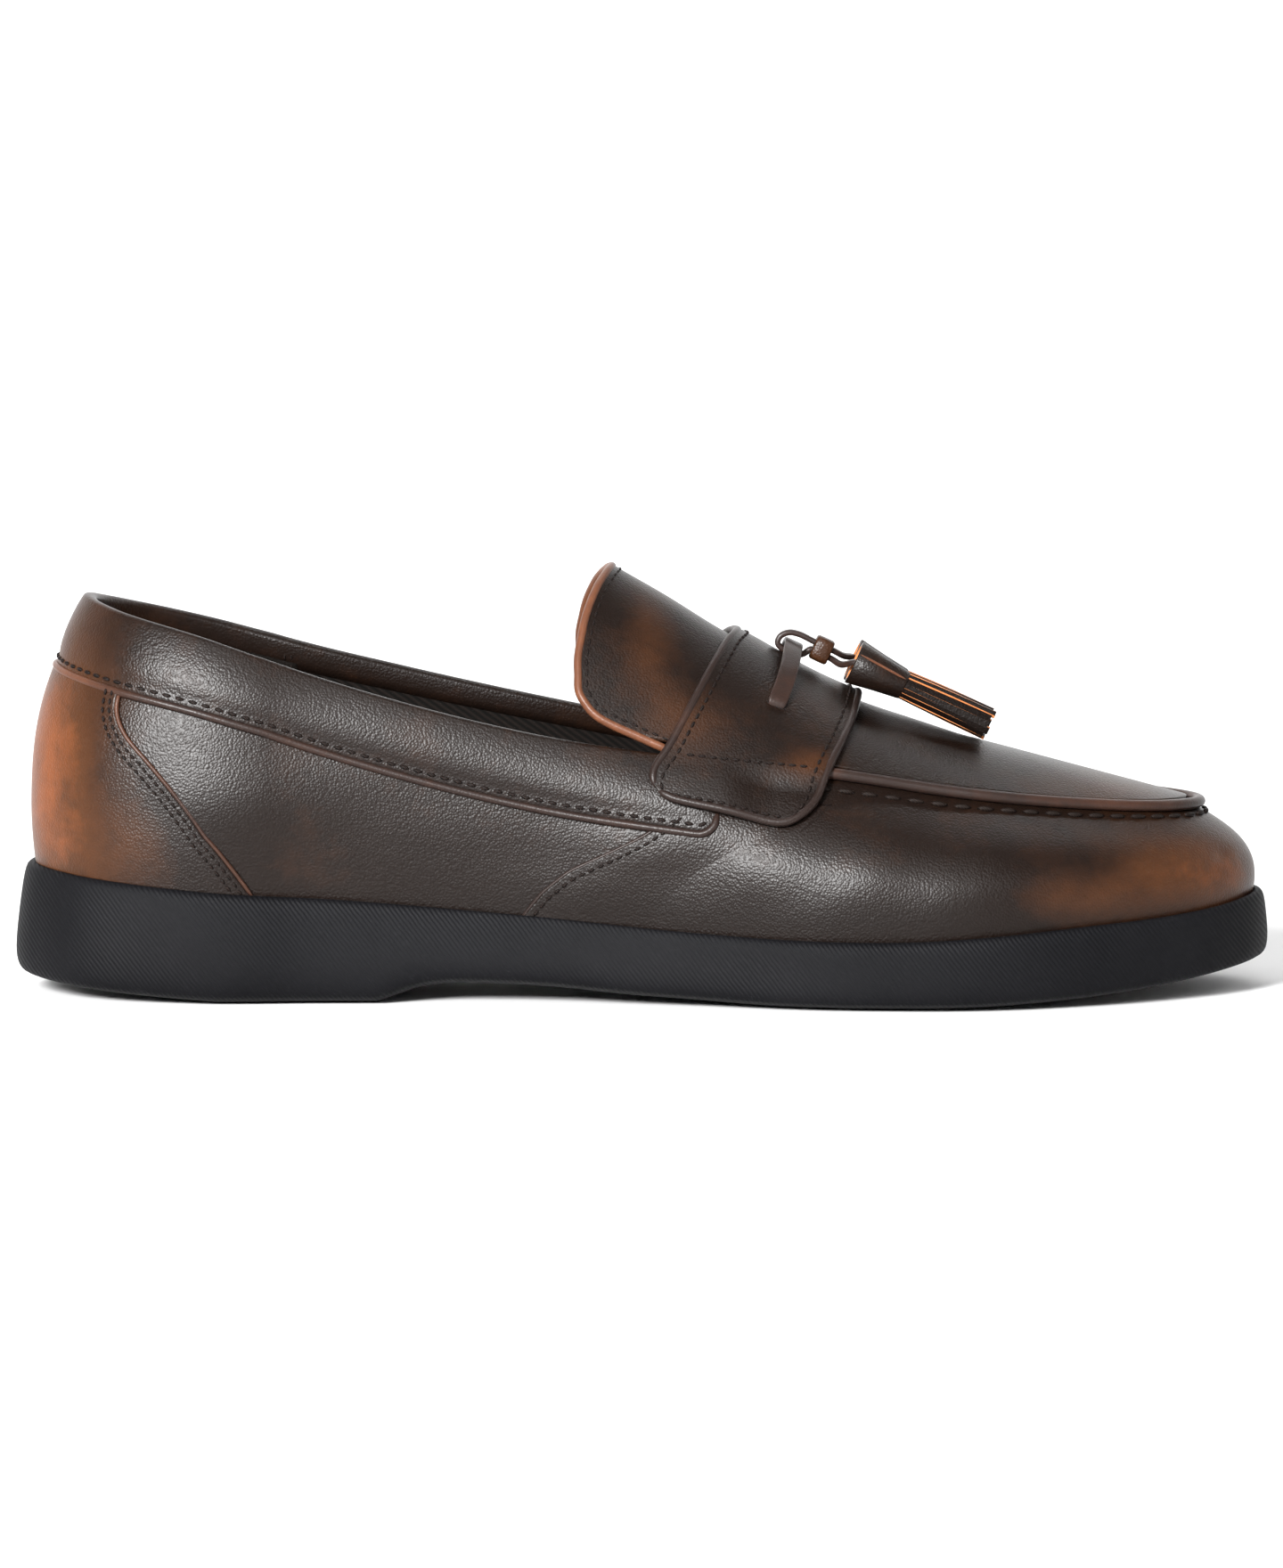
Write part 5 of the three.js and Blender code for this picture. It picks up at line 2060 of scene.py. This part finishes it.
@dataclass
class Lace(Part):
    """The flat lace over the strap, its loop, the keeper and both tassels."""

    strap: Strap
    x: float = 0.6206 * 296
    width: float = 4.4
    thick: float = 1.4
    loop_width: float = 3.2
    slope: float = 25.0
    spacing: float = 13.6
    cap_length: float = 13.2
    cap_wide: float = 10.5
    cap_narrow: float = 6.6
    fringe_length: float = 22.2
    fringe_width: float = 7.6

    def over_strap(self, x: float, sign: float, over: float, lift: float) -> Array:
        """A point above the strap's outer face.

        Args:
            x: Distance from the back of the heel.
            sign: The side.
            over: Row of the top.
            lift: Height above the strap.

        Returns:
            The point.
        """
        at, step = x / self.last.length, 0.004
        point = self.last.top(at, sign, over)
        ahead = self.last.top(at + step, sign, over) - point
        high = min(over + step, 1.0)
        rise = self.last.top(at, sign, high) - self.last.top(at, sign, high - step)
        normal = unit(np.cross(ahead, rise))
        normal = normal * np.sign(normal[2])
        height = self.strap.over_apron + self.strap.thick + lift
        upright = np.array([0.0, normal[1], normal[2]])
        return point + upright * height / float(upright @ upright)

    def origin(self) -> Array:
        """The point on the strap's middle where the lace crosses it.

        Returns:
            The point.
        """
        z = self.over_strap(self.x, -1.0, 1.0, 0.0)[2]
        return np.array([self.x, float(self.last.swing(self.x / self.last.length)), z])

    def axis(self) -> Array:
        """Direction of the tassels.

        Returns:
            A unit vector.
        """
        slope = math.radians(self.slope)
        return np.array([math.cos(slope), 0.0, -math.sin(slope)])

    def tassel_place(self, sign: float) -> Array:
        """Middle of a tassel's wide rim.

        Args:
            sign: The side.

        Returns:
            The point.
        """
        drop = -0.2 if sign < 0 else 0.2
        return self.origin() + (14, sign * self.spacing / 2, -0.3 - drop)

    def loop_path(self) -> Array:
        """The loop's route, from one tassel to the other.

        Returns:
            Points in millimetres.
        """
        axis = self.axis()
        outer = self.tassel_place(-1.0) + axis * 3
        inner = self.tassel_place(1.0) + axis * 3
        route = (
            (11.2, -3, -0.9),
            (8.6, -0.2, 0.3),
            (6.2, 0, 1.5),
            (4, 0, 2.45),
            (2.4, 0, 1.4),
            (0.4, 0, 1.1),
            (-2.1, 0, 2.2),
            (-3.8, 0, 3.8),
            (-3.2, 0, 5.5),
            (-1.2, 0, 6.4),
            (1.2, 0, 6),
            (4.7, 0, 4.3),
            (7, 0, 3.2),
            (9.3, 0, 2.1),
            (11.8, 3, 0.7),
        )
        middle = [self.origin() + np.array(step) for step in route]
        rows = [outer, outer - axis * 2.5 + (0, 0.8, 0), *middle]
        rows += [inner - axis * 2.5 + (0, -0.8, 0.6), inner]
        return smooth_line(np.array(rows), 120)

    def build(self) -> None:
        """Makes the bridge, the loop, the keeper and the tassels."""
        self.bridge()
        tassels = self.tassel(-1.0) + self.tassel(1.0)
        route = self.loop_path()
        tangents = unit(np.gradient(route, axis=0))
        flat = unit(np.cross(tangents, np.array([0.0, 1.0, 0.0])))
        path = Path(route, flat)
        tone = np.full(len(route), 0.5)
        wide, high = self.loop_width / 2, self.thick / 2
        loop = self.maker.tube("tassel_lace_loop", path, wide, high, 16, 0.45, tone)
        self.maker.settle(loop, Slot.STRAP, self.finishes.edge, ("tassel_loop",))
        rows = self.last.row(route)
        self.keeper()

    def bridge(self) -> None:
        """Makes the part of the lace that crosses the strap."""
        rows = (
            (-5.0, 0.29, -1.4),
            (-4.3, 0.33, 0.5),
            (-2.7, 0.45, 1.5),
            (-1.2, 0.62, 2.7),
            (-0.3, 0.82, 3.4),
        )
        outer, inner = (
            [self.over_strap(self.x + dx, sign, over, lift) for dx, over, lift in rows]
            for sign in (-1.0, 1.0)
        )
        middle = self.over_strap(self.x, -1.0, 1.0, 3.4)
        line = smooth_line(np.array([*outer, middle, *inner[::-1]]), 70)
        tangents = unit(np.gradient(line, axis=0))
        across = np.array([1.0, 0.0, -0.45])
        flat = unit(np.cross(tangents, across))
        flat = flat * np.sign(flat[:, 2:3])
        path, tone = Path(line, flat), np.full(len(line), 0.5)
        wide, high = self.width / 2, self.thick * 0.42
        thong = self.maker.tube("lace_bridge_thong", path, wide, high, 24, 0.3, tone)
        self.maker.settle(thong, Slot.STRAP, self.finishes.edge, ("lace_bridge",))
        for name, sign in (("outer", -1.0), ("inner", 1.0)):
            foot = self.over_strap(self.x - 4.5, sign, 0.315, 0.05)
            cut = foot + np.linspace(-2.7, 2.7, 12)[:, None] * unit(across)
            path = Path(cut, np.tile(unit(foot - (self.x, 2, 45)), (12, 1)))
            slit = self.maker.tube(f"lace_slit_{name}", path, 0.45, 0.3, 8)
            self.maker.settle(slit, Slot.STRAP, self.finishes.thread)

    def keeper(self) -> None:
        """Makes the leather wrap that holds the loop together."""
        axis = self.axis()
        centre = self.origin() + (6.6, 0, 2.3)
        up = np.cross(axis, np.array([0.0, 1.0, 0.0]))
        up = up * np.sign(up[2])
        across = np.array([0.0, 1.0, 0.0])
        wide, high, wall, half = 3.0, 2.95, 1.1, 2.2
        cos, sin = oval(32, 0.5)
        rings = ((-half, wall), (-half, 0.3), (-half + 0.4, 0), (0, -0.05), (half - 0.4, 0))
        rings += ((half, 0.3), (half, wall), (0, wall), (-half, wall))
        points = np.stack(
            [
                centre
                + axis * far
                + across * ((wide - thin) * cos)[:, None]
                + up * ((high - thin) * sin)[:, None]
                for far, thin in rings
            ]
        )
        outward = points - centre
        outward[6:] *= -1
        tone = np.full(points.shape[:2], 0.62)
        wrap = self.maker.sheet("loop_keeper", Lattice(points, outward), tone)
        self.maker.settle(wrap, Slot.TASSEL, self.finishes.upper, ("keeper",))

    def tassel(self, sign: float) -> list[bpy.types.Object]:
        """Makes one tassel.

        Args:
            sign: The side.

        Returns:
            Its cap, the cap's overlap and its fringe.
        """
        name = "outer" if sign < 0 else "inner"
        place = self.last.row(self.tassel_place(sign))
        turn = Matrix.Rotation(math.radians(self.slope), 4, "Y")
        to_shoe = Matrix.Translation(Vector(place)) @ turn
        wide, narrow = self.cap_wide / 2, self.cap_narrow / 2
        profile = (
            (3.2, 0.3),
            (3.2, narrow + 0.1),
            (0.25, wide - 1.15),
            (0.0, wide - 0.95),
            (0.0, wide - 0.2),
            (0.25, wide),
            (self.cap_length * 0.5, mix(wide, narrow, 0.52)),
            (self.cap_length - 0.3, narrow + 0.12),
            (self.cap_length, narrow - 0.15),
            (self.cap_length, 0.3),
        )
        body = spun([(x * MM, 0, r * MM) for x, r in profile], (1, 0, 0), 36, 1e-6)
        layer = body.verts.layers.float.new("tone")
        for vertex in body.verts:
            vertex[layer] = 0.5
        for face in body.faces:
            middle = face.calc_center_median()
            inward = face.normal.dot(Vector((0, middle.y, middle.z))) < 0
            face.material_index = 1 if inward and middle.x < 4 * MM else 0
        bmesh.ops.transform(body, matrix=to_shoe, verts=body.verts)
        cap = new_object(f"tassel_cap_{name}", body)
        self.maker.settle(cap, Slot.TASSEL, self.finishes.upper, (f"tassel_{name}",))
        cap.data.materials.append(self.finishes.cut)
        far = np.linspace(0.2, self.cap_length - 0.2, 14)[:, None]
        axis = self.axis()
        radial = np.array([-axis[2], 0.0, axis[0]]) * 0.5 + np.array([0.0, sign * 0.87, 0.0])
        reach = mix(wide, narrow, far / self.cap_length)
        seam = Path(self.tassel_place(sign) + axis * far + radial * reach, np.tile(radial, (14, 1)))
        lap = self.maker.tube(f"cap_overlap_{name}", seam, 0.3, 0.32, 8, 1.0, np.full(14, 0.7))
        self.maker.settle(lap, Slot.TASSEL, self.finishes.edge)
        return [cap, lap, self.fringe(name, to_shoe)]

    def fringe(self, name: str, to_shoe: Matrix) -> bpy.types.Object:
        """Makes the cut strips of a tassel.

        Args:
            name: Which tassel.
            to_shoe: Places the tassel on the shoe.

        Returns:
            The fringe.
        """
        body = bmesh.new()
        layer = body.verts.layers.float.new("tone")
        placed = body.verts.layers.int.new("placed")
        rings = ((1.0, 13, 1.7, 1.05), (0.55, 7, 1.6, 1.0), (0.12, 2, 1.5, 1.0))
        start = self.cap_length - 1.5
        for ring, (share, count, wide, thick) in enumerate(rings):
            for i in range(count):
                angle = 2 * math.pi * (i + 0.37 * ring) / count + 0.12 * math.sin(7.3 * i + ring)
                strip = bmesh.ops.create_cube(body, size=1)["verts"]
                edges = {edge for vertex in strip for edge in vertex.link_edges}
                long = [e for e in edges if abs(e.verts[0].co.x - e.verts[1].co.x) > 0.5]
                bmesh.ops.subdivide_edges(body, edges=long, cuts=6)
                length = self.fringe_length + 1.5 - 0.9 * abs(math.sin(2.1 * i + ring))
                for vertex in [v for v in body.verts if not v[placed]]:
                    out = vertex.co.x + 0.5
                    across = vertex.co.y * wide * mix(0.8, 1.02, out)
                    radius = mix(self.cap_narrow / 2 - 0.65, self.fringe_width / 2 - 0.55, out)
                    bend = 0.35 * math.sin(math.pi * out * 1.3 + i)
                    r = share * radius + vertex.co.z * thick * 0.8 + bend * 0.35 * share
                    z = r * math.cos(angle) - across * math.sin(angle)
                    y = r * math.sin(angle) + across * math.cos(angle)
                    vertex.co = ((start + out * length) * MM, y * MM, z * MM)
                    vertex[layer] = 0.5
                    vertex[placed] = 1
        bmesh.ops.recalc_face_normals(body, faces=body.faces)
        for face in body.faces:
            middle = face.calc_center_median()
            radial = Vector((0, middle.y, middle.z)).normalized()
            aside = abs(face.normal.dot(radial)) < 0.7
            face.material_index = 1 if aside else 0
            face.smooth = False
        bmesh.ops.transform(body, matrix=to_shoe, verts=body.verts)
        fringe = new_object(f"tassel_fringe_{name}", body)
        fringe.data.shade_flat()
        self.maker.settle(fringe, Slot.TASSEL, self.finishes.tassel)
        fringe.data.materials.append(self.finishes.cut)
        return fringe


@dataclass
class Studio:
    """Camera, floor and lights."""

    aim: tuple[float, float, float] = (0.0797, 0.0, 0.0482)
    distance: float = 2.0
    elevation: float = 5.5
    lens: float = 194.6

    def camera(self) -> None:
        """Sets the camera at the photograph's angle."""
        data = bpy.data.cameras.new("camera")
        data.lens = self.lens
        data.sensor_fit = "VERTICAL"
        data.sensor_height = 36.0
        camera = bpy.data.objects.new("camera", data)
        bpy.context.scene.collection.objects.link(camera)
        tilt = math.radians(self.elevation)
        away = Vector((0, -math.cos(tilt), math.sin(tilt)))
        camera.location = Vector(self.aim) + away * self.distance
        camera.rotation_euler = (math.pi / 2 - tilt, 0, 0)
        bpy.context.scene.camera = camera

    def floor(self) -> None:
        """Makes a pale floor that sweeps up into a round wall, the same from every side."""
        flat, bend = 2.6, 1.2
        profile = [(0.0, 0.0), (flat, 0.0)]
        for i in range(1, 13):
            angle = math.radians(90 * i / 12)
            profile.append((flat + bend * math.sin(angle), bend * (1 - math.cos(angle))))
        profile.append((flat + bend, 4.0))
        body = spun([(x, 0, z - 0.0001) for x, z in profile], (0, 0, 1), 72, 1e-5)
        floor = new_object("studio_floor", body)
        paper = {"Base Color": colour("#dcdcdc"), "Roughness": 0.9}
        floor.data.materials.append(Surface("matt_paper_floor").finished(paper, {}))

    def light(self, name: str, place: tuple, aim: tuple, size: tuple, power: float) -> None:
        """Adds a soft box.

        Args:
            name: Its name.
            place: Where it stands.
            aim: What it points at.
            size: Its width and height.
            power: Its power in watts.
        """
        data = bpy.data.lights.new(name, "AREA")
        data.shape = "RECTANGLE"
        data.size, data.size_y = size
        data.energy = power
        lamp = bpy.data.objects.new(name, data)
        lamp.location = place
        lamp.rotation_euler = (Vector(aim) - Vector(place)).to_track_quat("-Z", "Y").to_euler()
        bpy.context.scene.collection.objects.link(lamp)

    def build(self) -> None:
        """Makes the studio."""
        bpy.context.scene.view_settings.view_transform = "Standard"
        self.camera()
        self.floor()
        aim = (0.08, 0.0, 0.04)
        self.light("key_box", (-0.7, -1.88, 0.78), aim, (0.5, 0.45), 158)
        self.light("front_box", (0.56, -1.92, 1.0), aim, (0.8, 0.6), 9)
        self.light("top_box", (0.02, -0.89, 1.37), aim, (0.8, 0.5), 6)
        self.light("backdrop_box", (0.0, 1.3, 2.4), (0.0, 3.6, 0.5), (2.6, 0.8), 140)
        world = bpy.data.worlds.new("studio_air")
        world.use_nodes = True
        back = world.node_tree.nodes["Background"]
        back.inputs["Color"].default_value = colour("#ffffff")
        back.inputs["Strength"].default_value = 0.15
        bpy.context.scene.world = world


def main() -> None:
    """Builds the shoe in order."""
    logging.basicConfig(level=logging.INFO, format="%(name)s: %(message)s")
    Studio().build()
    last = Last()
    tools = (last, Maker(last), Finishes())
    upper, strap = Upper(*tools), Strap(*tools)
    parts = (
        Lace(*tools, strap),
        Sole(*tools),
        upper,
        QuarterSeam(*tools),
        CollarBand(*tools),
        HeelCounter(*tools),
        Apron(*tools, upper),
        strap,
    )
    for part in parts:
        part.build()


if __name__ == "__main__":
    main()
